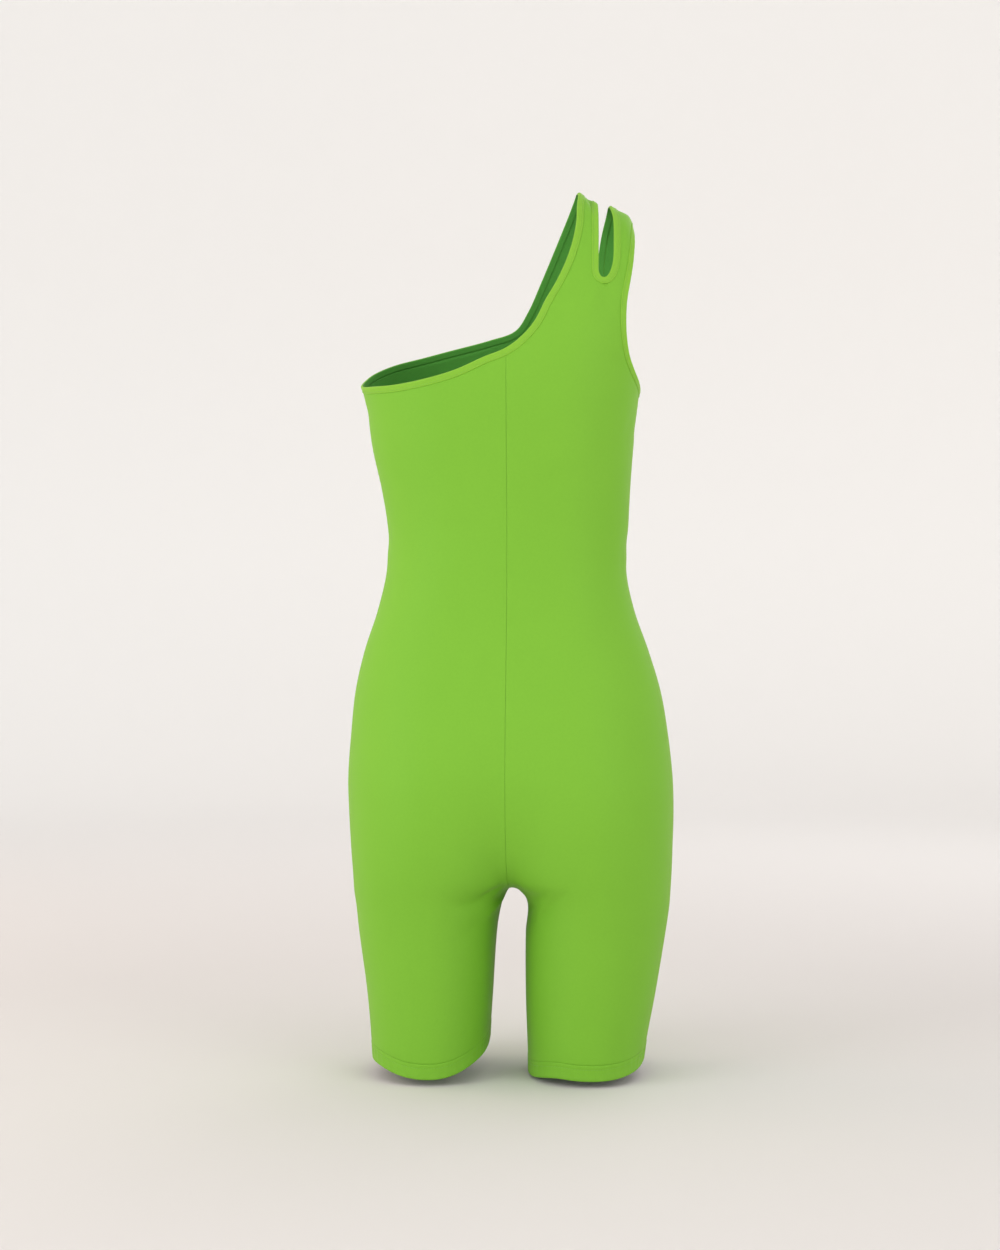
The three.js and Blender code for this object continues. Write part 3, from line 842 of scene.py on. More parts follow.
# Start (across or depth, height), end, width, depth, bow and lean, by the side looked at.
FOLD_ROWS = {
    "back": (
        # under the seat, from the crotch out along each thigh
        (-6, 168, -62, 176, 9, -0.9, -5, 0.25),
        (-8, 160, -48, 182, 5, 0.5, 3, 0.3),
        (-20, 142, -34, 166, 3.6, -1.3, 1, 0.4),
        (-26, 138, -46, 166, 4, 0.9, 2, 0.45),
        (-32, 140, -62, 174, 3.6, -1.0, 2, 0.4),
        (4, 171, 58, 154, 7, -2.3, 5, 0.3),
        (2, 160, 40, 137, 5, 2.2, -1, 0.4),
        (20, 146, 48, 118, 8, -0.8, -3, 0.4),
        # small of the back
        (34, 508, 96, 520, 11, -0.5, -4),
        (-28, 520, -92, 506, 10, -0.45, 4),
        (20, 486, 84, 478, 13, 0.45, 3),
        (-18, 556, -62, 590, 9, 0.4, 4),
        (-30, 548, -78, 580, 8, -0.4, 3),
        # under the slot, where the straps pull
        (-86, 756, -78, 712, 8, 0.7, 2, 0.3),
        (-98, 754, -100, 716, 7, -0.5, -2, 0.3),
        (-76, 850, -84, 826, 2.6, -2.4, 0, 0.35),
        (-112, 676, -82, 690, 8, -0.6, 2, 0.2),
    ),
    "front": (
        # crotch, waist and bust
        (-5, 164, -44, 192, 6, -0.8, 3, 0.3),
        (-12, 156, -52, 178, 6, 0.7, 3, 0.35),
        (6, 166, 40, 196, 6, -0.85, -3, 0.3),
        (16, 154, 56, 180, 7, 0.6, -4, 0.35),
        (-24, 214, -84, 236, 9, -0.6, 5, 0.6),
        (30, 222, 92, 250, 10, -0.55, -6, 0.55),
        (-16, 500, -88, 514, 11, -0.6, 5),
        (22, 520, 90, 502, 12, -0.6, -4),
        (-20, 540, -76, 556, 9, 0.45, 4),
        (-104, 640, -66, 664, 8, -0.8, 3, 0.25),
        (-106, 652, -74, 682, 6, 0.6, 2, 0.25),
        (118, 640, 82, 662, 9, -0.7, -3, 0.25),
    ),
    "right": (
        # under the arm and at the waist
        (-34, 640, 18, 612, 8, -0.7, 3, 0.4),
        (20, 640, 48, 604, 7, -0.55, -3, 0.35),
        (-40, 516, 36, 508, 10, -0.7, 3),
        (-30, 492, 30, 484, 9, 0.5, -3),
    ),
    "left": (
        # the same on the left
        (-30, 646, 34, 628, 9, -0.7, 3),
        (-38, 520, 38, 512, 11, -0.6, -3),
        (-26, 498, 40, 486, 9, 0.45, 3),
    ),
}

FOLDS = tuple(
    Fold(looks, row[:2], row[2:4], *row[4:]) for looks, rows in FOLD_ROWS.items() for row in rows
)


# How far the crest's own shape reaches to the back and the front, and where it starts.
CREST_REACH = 17.0
CREST_FOOT = 800.0

# Across the shoulder's crest: distance to the right of the middle plane, and height.
CREST_LIFT = (
    (66, 0.0), (71, 0.0), (77, -1.4), (83, -1.0), (90, -0.8),
    (97, 0.0), (108, 0.2), (114, 1.3), (118, 1.6), (123, 1.0),
)


def over_crest(points: Array) -> Array:
    """1 on the shoulder's crest, dying out down the back and the front."""
    return np.exp(-((points[..., 1] / CREST_REACH) ** 2)) * (points[..., 2] > CREST_FOOT)


@dataclass
class Relief:
    """Folds and the cloth's stand on the shoulder's crest, as heights above the smooth figure."""

    figure: Figure
    reach: float = 18.0
    taper: float = 0.8

    def _place(self, looks: str, spot: tuple[float, float]) -> Array:
        """A fold's end on the figure."""
        rays = {"back": (0, 1, 0), "front": (0, -1, 0), "left": (1, 0, 0), "right": (-1, 0, 0)}
        return self.figure.from_outside(np.array(rays[looks], float), *spot)

    @cached_property
    def placed(self) -> list[tuple[Fold, Array, Array, Array]]:
        """Each fold with its two ends and the direction of its bow."""
        found = []
        for fold in FOLDS:
            start, end = self._place(fold.looks, fold.start), self._place(fold.looks, fold.end)
            normal = self.figure.outward(((start + end) / 2)[None])[0]
            found.append((fold, start, end, unit(np.cross(normal, end - start))))
        return found

    def lift(self, points: Array, normals: Array) -> Array:
        """The folds' height at points: each a bell across, fading to nothing at its two ends.

        Args:
            points: Places on the smooth figure.
            normals: The directions out of it there.

        Returns:
            Heights in millimetres.
        """
        total = np.zeros(points.shape[:-1])
        for fold, start, end, sideways in self.placed:
            run = end - start
            t = np.clip(((points - start) @ run) / (run @ run), 0.0, 1.0)
            line = start + t[..., None] * run + (np.sin(math.pi * t) * fold.bow)[..., None] * sideways
            away = points - line
            off = (away * normals).sum(-1)
            flat = np.linalg.norm(away - off[..., None] * normals, axis=-1)
            along = np.sin(math.pi * t ** (math.log(0.5) / math.log(fold.lean))) ** self.taper
            near = np.exp(-((off / self.reach) ** 4))
            total += fold.depth * along * near * np.exp(-((flat / fold.width) ** 2))
        return total + self._crest_lift(points)

    def _crest_lift(self, points: Array) -> Array:
        """How the cloth stands off the shoulder's crest, from a short table of places."""
        across, height = np.array(CREST_LIFT, float).T
        return np.interp(-points[..., 0], across, height) * over_crest(points)


def ripple(walk: Array, pitch: float, seed: float) -> Array:
    """An uneven wave along a seam, from -1 to 1: a sine whose pace and size drift slowly."""
    drift = 1.9 * np.sin(walk / (4.1 * pitch) + seed) + 1.1 * np.sin(walk / (9.7 * pitch) + 2 * seed)
    size = 0.62 + 0.38 * np.sin(walk / (6.3 * pitch) + 3.1 * seed)
    return size * np.sin(2 * math.pi * walk / pitch + drift)


# ------------------------------------------------------------------ meshes


def grid_faces(numbers: Array) -> Array:
    """Quads between neighbouring rows and columns of a grid of vertex numbers."""
    corners = (numbers[:-1, :-1], numbers[:-1, 1:], numbers[1:, 1:], numbers[1:, :-1])
    return np.stack(corners, axis=-1).reshape(-1, 4)


def face_normals(points: Array, quads: Array) -> Array:
    """Directions of quads, from their diagonals."""
    a, b, c, d = (points[quads[:, corner]] for corner in range(4))
    return np.cross(c - a, d - b)


def looking(points: Array, quads: Array, ways: Array) -> Array:
    """Quads turned over where need be, so that on the whole they look the given ways."""
    wrong = (face_normals(points, quads) * ways).sum() < 0
    return quads[:, ::-1] if wrong else quads


@dataclass
class MeshMaker:
    """Puts arrays into Blender objects in the frame's own axes and metres."""

    origin: Array

    def make(
        self,
        name: str,
        points: Array,
        quads: Array,
        materials: Sequence[bpy.types.Material],
        uv: Array | None = None,
        second: Array | None = None,
    ) -> bpy.types.Object:
        """A smooth mesh object at the origin.

        Args:
            name: The piece's name.
            points: Vertices on the figure, in millimetres.
            quads: Four vertex numbers a face, facing outwards.
            materials: Its materials.
            uv: One place on the cloth a vertex, in metres.
            second: Which faces take the second material; the others take the first.

        Returns:
            The new object.
        """
        mesh = bpy.data.meshes.new(name)
        mesh.vertices.add(len(points))
        mesh.vertices.foreach_set("co", ((points - self.origin) * MM).astype(np.float32).ravel())
        mesh.loops.add(quads.size)
        mesh.loops.foreach_set("vertex_index", quads.astype(np.int32).ravel())
        mesh.polygons.add(len(quads))
        mesh.polygons.foreach_set("loop_start", np.arange(0, quads.size, 4, dtype=np.int32))
        mesh.polygons.foreach_set("use_smooth", np.ones(len(quads), bool))
        if second is not None:
            mesh.polygons.foreach_set("material_index", second.astype(np.int32))
        if uv is not None:
            layer = mesh.uv_layers.new(name="cloth")
            layer.uv.foreach_set("vector", uv[quads.ravel()].astype(np.float32).ravel())
        mesh.update(calc_edges=True)
        mesh.validate()
        for material in materials:
            mesh.materials.append(material)
        piece = bpy.data.objects.new(name, mesh)
        bpy.context.scene.collection.objects.link(piece)
        return piece


# ------------------------------------------------------------------ shading


Colour = tuple[float, float, float]


def opaque(colour: Colour) -> tuple[float, float, float, float]:
    """A colour with full alpha."""
    return (*colour, 1.0)


class Socket:
    """A shader value on which arithmetic adds Math nodes."""

    def __init__(self, shader: "Shader", link: Any) -> None:
        """Wraps an output socket, or keeps a plain number."""
        self.shader = shader
        self.link = link

    def _math(self, operation: str, *values: Any) -> "Socket":
        """A Math node on this and other values."""
        made = self.shader.node("Math", dict(enumerate(values)), operation=operation)
        return Socket(self.shader, made.outputs[0])

    def __add__(self, other: Any) -> "Socket":
        """Sum."""
        return self._math("ADD", self, other)

    def __mul__(self, other: Any) -> "Socket":
        """Product."""
        return self._math("MULTIPLY", self, other)

    def __sub__(self, other: Any) -> "Socket":
        """Difference."""
        return self._math("SUBTRACT", self, other)

    def sine(self) -> "Socket":
        """Sine of this value."""
        return self._math("SINE", self)

    def clipped(self) -> "Socket":
        """This value kept from 0 to 1."""
        return self._math("MINIMUM", self._math("MAXIMUM", self, 0.0), 1.0)


class Shader:
    """Builds one material."""

    def __init__(self, name: str) -> None:
        """Starts a material with its Principled shader.

        Args:
            name: The material's name.
        """
        self.material = bpy.data.materials.new(name)
        self.material.use_nodes = True
        self.tree = self.material.node_tree
        self.principled = self.tree.nodes["Principled BSDF"]

    def node(self, kind: str, values: dict[Any, Any], **settings: Any) -> bpy.types.Node:
        """Adds any node.

        Args:
            kind: Blender's name for its type, without ShaderNode.
            values: Numbers, colours or links, by socket name or number.
            **settings: Its own settings, made first.

        Returns:
            The node.
        """
        made = self.tree.nodes.new(f"ShaderNode{kind}")
        for key, value in settings.items():
            setattr(made, key, value)
        for key, value in values.items():
            self.join(made.inputs[key], value)
        return made

    def join(self, target: bpy.types.NodeSocket, value: Any) -> None:
        """Links or sets one input."""
        if isinstance(value, Socket):
            value = value.link
        if isinstance(value, bpy.types.NodeSocket):
            self.tree.links.new(value, target)
        else:
            target.default_value = value

    def value(self, node: bpy.types.Node, output: str | int = 0) -> Socket:
        """One output of a node, ready for arithmetic."""
        return Socket(self, node.outputs[output])

    def noise(self, place: bpy.types.NodeSocket, scale: float, detail: float) -> Socket:
        """Soft noise of a given scale and detail."""
        values = {"Vector": place, "Scale": scale, "Detail": detail}
        return self.value(self.node("TexNoise", values))

    def blend(self, share: Any, low: Colour, high: Colour) -> bpy.types.NodeSocket:
        """The colour a share of the way from low to high."""
        values = {"Factor": share, 6: opaque(low), 7: opaque(high)}
        return self.node("Mix", values, data_type="RGBA").outputs[2]

    def bump(self, strength: float, distance: float, height: Socket) -> bpy.types.NodeSocket:
        """A surface direction that follows a height."""
        values = {"Strength": strength, "Distance": distance, "Height": height}
        return self.node("Bump", values).outputs[0]

    def surface(self, **values: Any) -> bpy.types.Material:
        """Sets the Principled shader's inputs, with underscores for spaces.

        Args:
            **values: Numbers, colours or links.

        Returns:
            The finished material.
        """
        for key, value in values.items():
            label = key.replace("_", " ").title().replace("Ior", "IOR")
            self.join(self.principled.inputs[label], value)
        return self.material


@dataclass(frozen=True)
class KnitFinish:
    """A fine, smooth stretch jersey."""

    name: str
    light: Colour
    deep: Colour
    roughness: float = 0.62
    sheen: float = 0.09
    sheen_roughness: float = 0.3
    sheen_tint: Colour = (1.0, 0.62, 0.32)
    wale_pitch: float = 0.00055
    course_pitch: float = 0.00042
    knit_height: float = 0.00003
    knit_strength: float = 0.35
    specular: float = 0.18
    broad: tuple[float, float] = (9.0, 3.0)
    fine: tuple[float, float] = (420.0, 2.0)
    broad_share: float = 0.3
    fine_share: float = 0.4
    knit_share: float = 0.12
    fuzz: float = 0.16

    def material(self) -> bpy.types.Material:
        """The jersey: broad soft mottling, and rows of tiny stitches as bump.

        Returns:
            The material.
        """
        shader = Shader(self.name)
        place = shader.node("TexCoord", {})
        broad = shader.noise(place.outputs["Object"], *self.broad) - 0.5
        fine = shader.noise(place.outputs["Object"], *self.fine) - 0.5
        cloth = shader.node("SeparateXYZ", {0: place.outputs["UV"]})
        across, along = shader.value(cloth, 0), shader.value(cloth, 1)
        wale = (across * (2 * math.pi / self.wale_pitch)).sine()
        course = (along * (2 * math.pi / self.course_pitch) + wale * 0.8).sine()
        knit = (wale * 0.5 + 0.5) * (course * 0.35 + 0.65)
        share = broad * self.broad_share + fine * self.fine_share + 0.5 + knit * self.knit_share
        return shader.surface(
            base_color=shader.blend(share.clipped(), self.deep, self.light),
            roughness=fine * self.fuzz + self.roughness,
            normal=shader.bump(self.knit_strength, self.knit_height, knit),
            sheen_weight=self.sheen,
            sheen_roughness=self.sheen_roughness,
            sheen_tint=opaque(self.sheen_tint),
            specular_ior_level=self.specular,
        )


@dataclass(frozen=True)
class ThreadFinish:
    """Spun sewing thread."""

    name: str
    light: Colour
    deep: Colour
    twist_pitch: float = 0.0011
    twist_slant: float = 1.4
    twist_strength: float = 0.4
    twist_height: float = 0.00005
    roughness: float = 0.5

    def material(self) -> bpy.types.Material:
        """The thread: a slanting twist in colour and bump.

        Returns:
            The material.
        """
        shader = Shader(self.name)
        place = shader.node("TexCoord", {})
        spread = shader.node("SeparateXYZ", {0: place.outputs["Object"]})
        x, y, z = (shader.value(spread, axis) for axis in range(3))
        slant = x + y + z * self.twist_slant
        twist = (slant * (2 * math.pi / self.twist_pitch)).sine() * 0.5 + 0.5
        return shader.surface(
            base_color=shader.blend(twist, self.deep, self.light),
            roughness=self.roughness,
            normal=shader.bump(self.twist_strength, self.twist_height, twist),
        )


@dataclass(frozen=True)
class PlainFinish:
    """A pale studio surface with painted shade: darkest near the middle, under the garment, and paler away
    from it.
    """

    name: str
    # near is painted shade on the floor round the garment; far is the paper's own pale tone.
    near: Colour
    far: Colour
    roughness: float = 0.9
    specular: float = 0.1

    def material(self) -> bpy.types.Material:
        """The paper, its painted shade taken from how far out it lies."""
        shader = Shader(self.name)
        far = shader.node("Attribute", {}, attribute_name="far").outputs["Fac"]
        return shader.surface(
            base_color=shader.blend(far, self.near, self.far),
            roughness=self.roughness,
            specular_ior_level=self.specular,
        )


# ------------------------------------------------------------------ cloth panels


@dataclass
class Patch:
    """A grid of cloth: places on the figure, directions out of it and heights above it."""

    base: Array
    normal: Array
    lift: Array

    def flipped(self) -> "Patch":
        """The same patch with its columns in the other order."""
        return Patch(self.base[:, ::-1], self.normal[:, ::-1], self.lift[:, ::-1])

    def turned(self) -> "Patch":
        """The same patch with rows and columns exchanged."""
        swap = (1, 0, 2)
        return Patch(self.base.transpose(swap), self.normal.transpose(swap), self.lift.T)

    @property
    def points(self) -> Array:
        """The cloth's own points."""
        return self.base + self.normal * self.lift[..., None]


@dataclass
class Panels:
    """The four cloth panels, with their edges turned in at the sewn seams."""

    cut: Cut
    relief: Relief
    maker: MeshMaker
    wall: float = 1.1
    roll: float = 0.4
    fade_rows: int = 7
    faded: float = 0.3
    sunk: float = 0.25
    allowance: tuple[float, ...] = (0.5, 1.3, 2.6)
    overlap: float = 0.3
    nudge: float = 0.01
    nudge_reach: float = 0.4
    inner_column: int = 8
    sunk_reach: float = 1.5
    pucker_reach: float = 6.0
    pucker_free: float = 0.4
    pucker: float = 0.16
    pucker_pitch: float = 8.5
    seeds: dict[str, float] = field(
        default_factory=lambda: {
            "left": 1.3, "right": 2.2, "middle": 4.1, "strap": 5.7, "shoulder": 6.4
        }
    )

    @cached_property
    def seams(self) -> dict[str, Array]:
        """Where the cloth ends under each band, as closed loops."""
        distance = self.cut.band_width - self.cut.tuck
        ways = {"neck": -1, "arm": 1, "slot": -1}
        loops = self.cut.loops()
        return {name: self.cut.shifted(loops[name], ways[name] * distance) for name in ways}

    def _side_of(self, loop: Array, face: Face, count: int) -> Array:
        """The back or front run of a closed seam, from its first point up to the crest."""
        if face is Face.BACK:
            return loop[: count + 1]
        return np.concatenate([loop[:1], loop[count:][::-1]])[: count + 1]

    def _neck(self, face: Face) -> Array:
        """The neck's run from under the left arm to the crest, with one point on the middle plane."""
        n = self.cut.steps
        run = self._side_of(self.seams["neck"], face, n.columns + n.yoke_rows + n.strap_rows)
        places = np.arange(len(run), dtype=float)
        crossing = np.interp(0.0, -run[:, 0], places)
        spots = np.interp(places, [0.0, n.columns, places[-1]], [0.0, crossing, places[-1]])
        return sample(run, places, spots)

    def _slot_side(self, face: Face, nearer_arm: bool) -> Array:
        """One long side of the slot's seam, from its foot up to the crest."""
        slot, count = self.seams["slot"], self.cut.steps.strap_rows + 1
        if face is Face.BACK:
            return slot[count : 2 * count] if nearer_arm else slot[:count][::-1]
        if nearer_arm:
            return slot[2 * count - 1 : 3 * count - 1][::-1]
        return np.concatenate([slot[3 * count - 1 :], slot[:1]])

    def _across(self, side: Side, face: Face, outer: Array, inner: Array, gather: float = 1.0) -> Array:
        """Rows across a panel between settled ends, evenly in angle and eased in height.

        Args:
            side: The half.
            face: Front or back.
            outer: The rows' ends on the side seam.
            inner: The rows' ends on the middle seam.
            gather: Above 1, the rise is kept for the inner end.

        Returns:
            A grid of points.
        """
        figure = self.cut.figure
        share = np.linspace(0.0, 1.0, self.cut.steps.columns + 1)[None]
        turn_out = figure.turn_of(side, outer, face)[:, None]
        turn_in = figure.turn_of(side, inner, face)[:, None]
        eased = (share * share * (3 - 2 * share)) ** gather
        height = mix(outer[:, 2:3], inner[:, 2:3], eased)
        grid = figure.round_point(side, mix(turn_out, turn_in, share), height)
        grid[:, 0], grid[:, -1] = outer, inner
        return grid

    def _lower(self, side: Side, face: Face) -> Array:
        """Rows from the hem up to the fan height: a leg, then a fan about the crotch."""
        cut, figure, n = self.cut, self.cut.figure, self.cut.steps
        inseam = face.sign * math.pi
        turns = np.linspace(cut.seam_turn(np.zeros(1))[0], inseam, n.columns + 1)
        hem = cut.hem_row(side, turns, cut.hem_depth - cut.hem_tuck)
        crotch = figure.middle_point(Face.BACK, -math.pi / 2)
        crotch_side = cut.side_point(side, crotch[2] + cut.crotch_side_rise)
        row = self._across(side, face, crotch_side[None], crotch[None])[0]
        row_turns = figure.turn_of(side, row, face)
        row_turns[-1] = inseam
        share = (np.arange(n.leg_rows) / n.leg_rows)[:, None]
        low_turns = figure.turn_of(side, hem, face)
        legs = figure.round_point(side, mix(low_turns, row_turns, share), mix(hem[:, 2], row[:, 2], share))
        rise = np.arange(1, n.seat_rows + 1) / n.seat_rows
        inner = figure.middle_point(face, -math.pi / 2 * (1 - rise))
        outer = cut.side_point(side, mix(crotch_side[2], figure.fan_height, rise))
        return np.concatenate([legs, row[None], self._across(side, face, outer, inner)])

    def _between(self, side: Side, face: Face, low: Array, high: Array, outer: Array, inner: Array) -> Array:
        """Rows between two rows, bent evenly from one to the other between two side runs.

        Args:
            side: The half.
            face: Front or back.
            low: The lower row.
            high: The upper row.
            outer: The outer ends, from low to high.
            inner: The inner ends, from low to high.

        Returns:
            The rows after low and up to high.
        """
        figure = self.cut.figure

        def place(points: Array) -> Array:
            """Angle and height of each point."""
            return np.stack([figure.turn_of(side, points, face), points[..., 2]], axis=-1)

        rise = np.linspace(0.0, 1.0, len(outer))[1:-1][:, None, None]
        share = np.linspace(0.0, 1.0, len(low))[None, :, None]
        even = mix(place(low)[None], place(high)[None], rise)
        outer_off = place(outer)[1:-1, None] - even[:, :1]
        inner_off = place(inner)[1:-1, None] - even[:, -1:]
        spots = even + outer_off * (1 - share) + inner_off * share
        grid = figure.round_point(side, spots[..., 0], spots[..., 1])
        grid[:, 0], grid[:, -1] = outer[1:-1], inner[1:-1]
        return np.concatenate([grid, high[None]])

    def _torso(self, side: Side, face: Face, low: Array, high: Array) -> Array:
        """Rows from the fan height up to a seam, along the side and middle seams."""
        share = np.linspace(0.0, 1.0, self.cut.steps.torso_rows + 1)
        outer = self.cut.side_point(side, mix(low[0, 2], high[0, 2], share))
        inner = self.cut.figure.middle_at_height(face, mix(low[-1, 2], high[-1, 2], share))
        return self._between(side, face, low, high, outer, inner)

    def _straight(self, start: Array, end: Array, count: int) -> Array:
        """Straight rows laid onto the figure between two side runs."""
        share = np.linspace(0.0, 1.0, count + 1)[None, :, None]
        grid = self.cut.figure.settle(mix(start[:, None], end[:, None], share))
        grid[:, 0], grid[:, -1] = start, end
        return grid

    def _crowd(self, grid: Array, low: bool, high: bool) -> Array:
        """Extra columns crowded at one or both ends, by straight mixing and settling."""
        extra = np.array(self.cut.steps.edge_spots)
        last = grid.shape[1] - 1
        spots = np.arange(last + 1, dtype=float)
        if low:
            spots = np.concatenate([spots, extra])
        if high:
            spots = np.concatenate([spots, last - extra])
        spots = np.sort(spots)
        below = np.minimum(spots.astype(int), last - 1)
        share = (spots - below)[None, :, None]
        return self.cut.figure.settle(mix(grid[:, below], grid[:, below + 1], share), passes=3)

    def _sewn(self, rows: int, free: int = 0) -> Array:
        """How fully each row is sewn: less near the neck, not at all where it ends under a band."""
        fade = np.linspace(1.0, self.faded, self.fade_rows)
        return np.concatenate([np.ones(rows - self.fade_rows), fade, np.zeros(free)])

    def _patch(self, grid: Array) -> Patch:
        """A patch at rest on the figure."""
        return Patch(grid, self.cut.figure.outward(grid), np.zeros(grid.shape[:2]))

    def _turn_in(self, patch: Patch, sewn: Array, seed: float) -> Patch:
        """Rolls the first column of a patch into its seam and adds the allowance inside it.

        The cloth falls on a quarter circle towards the seam and then goes straight in. Where
        the edge isn't sewn to another panel it runs on flat under its band instead.

        Args:
            patch: The patch.
            sewn: 1 for rows that end in a seam, 0 for rows that end under a band.
            seed: Sets this seam's puckers apart from the others'.

        Returns:
            The patch with the new columns first.
        """
        edge = patch.base[:, 0]
        reach = np.linalg.norm(patch.base - edge[:, None], axis=-1)
        short = np.minimum(reach, self.roll)
        fall = self.roll - np.sqrt(np.maximum(self.roll**2 - (self.roll - short) ** 2, 0.0))
        walk = lengths(edge)[:, None]
        wave = self.pucker * ripple(walk, self.pucker_pitch, seed)
        wave = wave * np.exp(-((reach / self.pucker_reach) ** 2))
        weight = sewn[:, None]
        sunk = self.sunk * (1.0 - weight) * np.exp(-((reach / self.sunk_reach) ** 2))
        lift = patch.lift - fall * weight - sunk + wave * mix(self.pucker_free, 1.0, weight)
        inward = unit(patch.base[:, self.inner_column] - edge)
        nudge = self.nudge * inward
        base = patch.base.copy()
        near = np.exp(-((reach / self.nudge_reach) ** 2)) * weight
        base += near[..., None] * nudge[:, None]
        free = (sewn == 0)[:, None]
        added_base, added_lift = [], []
        for number, depth in enumerate(self.allowance, start=1):
            out = free * inward * -self.overlap * number
            added_base.append(edge + nudge * weight + out)
            added_lift.append(lift[:, 0] - depth * sewn)
        base = np.concatenate([np.stack(added_base[::-1], axis=1), base], axis=1)
        added = np.repeat(patch.normal[:, :1], len(self.allowance), axis=1)
        normal = np.concatenate([added, patch.normal], axis=1)
        lift = np.concatenate([np.stack(added_lift[::-1], axis=1), lift], axis=1)
        return Patch(base, normal, lift)

    def _body(self, grid: Array, sewn: Array, half: str, face: Face) -> tuple[Patch, Array]:
        """A panel's patch from the hem up, turned in at its two long sides.

        Args:
            grid: Its rows, from the side seam to the middle seam.
            sewn: 1 for rows that end in a seam, 0 for rows that end under a band.
            half: The half's name.
            face: Front or back.

        Returns:
            The patch and its vertex numbers.
        """
        patch = self._turn_in(self._patch(self._crowd(grid, True, True)), sewn, self.seeds[half])
        seed = self.seeds["middle"] + face.sign
        patch = self._turn_in(patch.flipped(), sewn, seed).flipped()
        return patch, np.arange(patch.lift.size).reshape(patch.lift.shape)

    def _finish(self, name: str, patches: list[tuple[Patch, Array]], materials: list) -> bpy.types.Object:
        """Makes one panel's object from its patches and their vertex numbers.

        Args:
            name: The panel's name.
            patches: Patches with their vertex numbers, which may repeat a shared row.
            materials: Outer finish, and the darker inner one, which is painted shade on the duller wrong
                side.

        Returns:
            The object, with its wall.
        """
        count = max(int(numbers.max()) for _, numbers in patches) + 1
        points, normals, uv = np.zeros((count, 3)), np.zeros((count, 3)), np.zeros((count, 2))
        quads = []
        for patch, numbers in patches:
            relief = self.relief.lift(patch.base, patch.normal)
            points[numbers] = Patch(patch.base, patch.normal, patch.lift + relief).points
            normals[numbers] = patch.normal
            steps = np.linalg.norm(np.diff(patch.base, axis=1), axis=-1)
            across = np.concatenate([np.zeros((len(steps), 1)), np.cumsum(steps, axis=1)], axis=1)
            across = across - across[:, -1:]
            uv[numbers] = np.stack([across, patch.base[..., 2]], axis=-1) * MM
            quads.append(grid_faces(numbers))
        faces = np.concatenate(quads)
        faces = looking(points, faces, normals[faces].mean(axis=1))
        piece = self.maker.make(name, points, faces, materials, uv)
        wall = piece.modifiers.new("wall", "SOLIDIFY")
        wall.thickness = self.wall * MM
        wall.offset = -1.0
        wall.use_rim = True
        # The inner wall and the rim take the second, darker finish: painted shade inside the garment.
        wall.material_offset = 1
        wall.material_offset_rim = 1
        return piece

    def left(self, face: Face, materials: list) -> bpy.types.Object:
        """A panel of the left half: leg, seat and torso up to the neck band."""
        neck = self._neck(face)[: self.cut.steps.columns + 1]
        lower = self._lower(Side.LEFT, face)
        grid = np.concatenate([lower, self._torso(Side.LEFT, face, lower[-1], neck)])
        found = [self._body(grid, self._sewn(len(grid)), "left", face)]
        return self._finish(f"cloth_{face.value}_left", found, materials)

    def right(self, face: Face, materials: list) -> bpy.types.Object:
        """A panel of the right half: leg, seat, torso and yoke, then the two straps."""
        n = self.cut.steps
        neck = self._neck(face)[n.columns :]
        arm = self._side_of(self.seams["arm"], face, n.yoke_rows + n.strap_rows)
        slot_out, slot_in = self._slot_side(face, True), self._slot_side(face, False)
        split = n.columns - n.slot_column
        lower = self._lower(Side.RIGHT, face)
        corner = self._across(Side.RIGHT, face, arm[:1], neck[:1], self.cut.corner_gather)[0]
        torso = self._torso(Side.RIGHT, face, lower[-1], corner)
        at = n.yoke_rows
        foot = np.concatenate([
            self._straight(arm[at : at + 1], slot_out[:1], split)[0],
            self._straight(slot_in[:1], neck[at : at + 1], n.columns - split - 1)[0],
        ])
        yoke = self._between(Side.RIGHT, face, corner, foot, arm[: at + 1], neck[: at + 1])
        sewn = self._sewn(len(lower) + len(torso), len(yoke))
        found = [self._body(np.concatenate([lower, torso, yoke]), sewn, "right", face)]
        top_row = found[0][1][-1]
        spots = len(n.edge_spots)
        outer = self._crowd(self._straight(arm[at:], slot_out, split), True, False)
        inner = self._crowd(self._straight(slot_in, neck[at:], n.columns - split - 1), False, True)
        wide = split + 1 + spots + len(self.allowance)
        straps = ((outer, False, top_row[:wide]), (inner, True, top_row[wide:]))
        for grid, flip, shared in straps:
            strap = self._patch(grid)
            strap = strap.flipped() if flip else strap
            strap = self._turn_in(strap, np.zeros(len(grid)), self.seeds["strap"])
            strap = strap.flipped() if flip else strap
            found.append(self._strap(strap, shared, found))
        return self._finish(f"cloth_{face.value}_right", found, materials)

    def _strap(self, strap: Patch, shared: Array, found: list) -> tuple[Patch, Array]:
        """Ends a strap in its shoulder seam and numbers it from the row it grows out of.

        Args:
            strap: The strap's patch, from the yoke up.
            shared: Vertex numbers of its first row.
            found: The patches numbered so far.

        Returns:
            The patch and its vertex numbers.
        """
        level = Patch(strap.base[:-1], strap.normal[:-1], strap.lift[:-1])
        crowded = self._crowd(strap.base.transpose(1, 0, 2), False, True).transpose(1, 0, 2)
        kept = len(level.lift)
        top = self._patch(crowded[kept:])
        joined = Patch(
            np.concatenate([level.base, top.base]),
            np.concatenate([level.normal, top.normal]),
            np.concatenate([level.lift, top.lift]),
        )
        ended = joined.turned().flipped()
        ended = self._turn_in(ended, np.ones(len(ended.lift)), self.seeds["shoulder"])
        ended = ended.flipped().turned()
        start = max(int(numbers.max()) for _, numbers in found) + 1
        rows, columns = ended.lift.shape
        fresh = np.arange(start, start + (rows - 1) * columns).reshape(rows - 1, columns)
        return ended, np.concatenate([shared[None], fresh])


# ------------------------------------------------------------------ bindings and hems


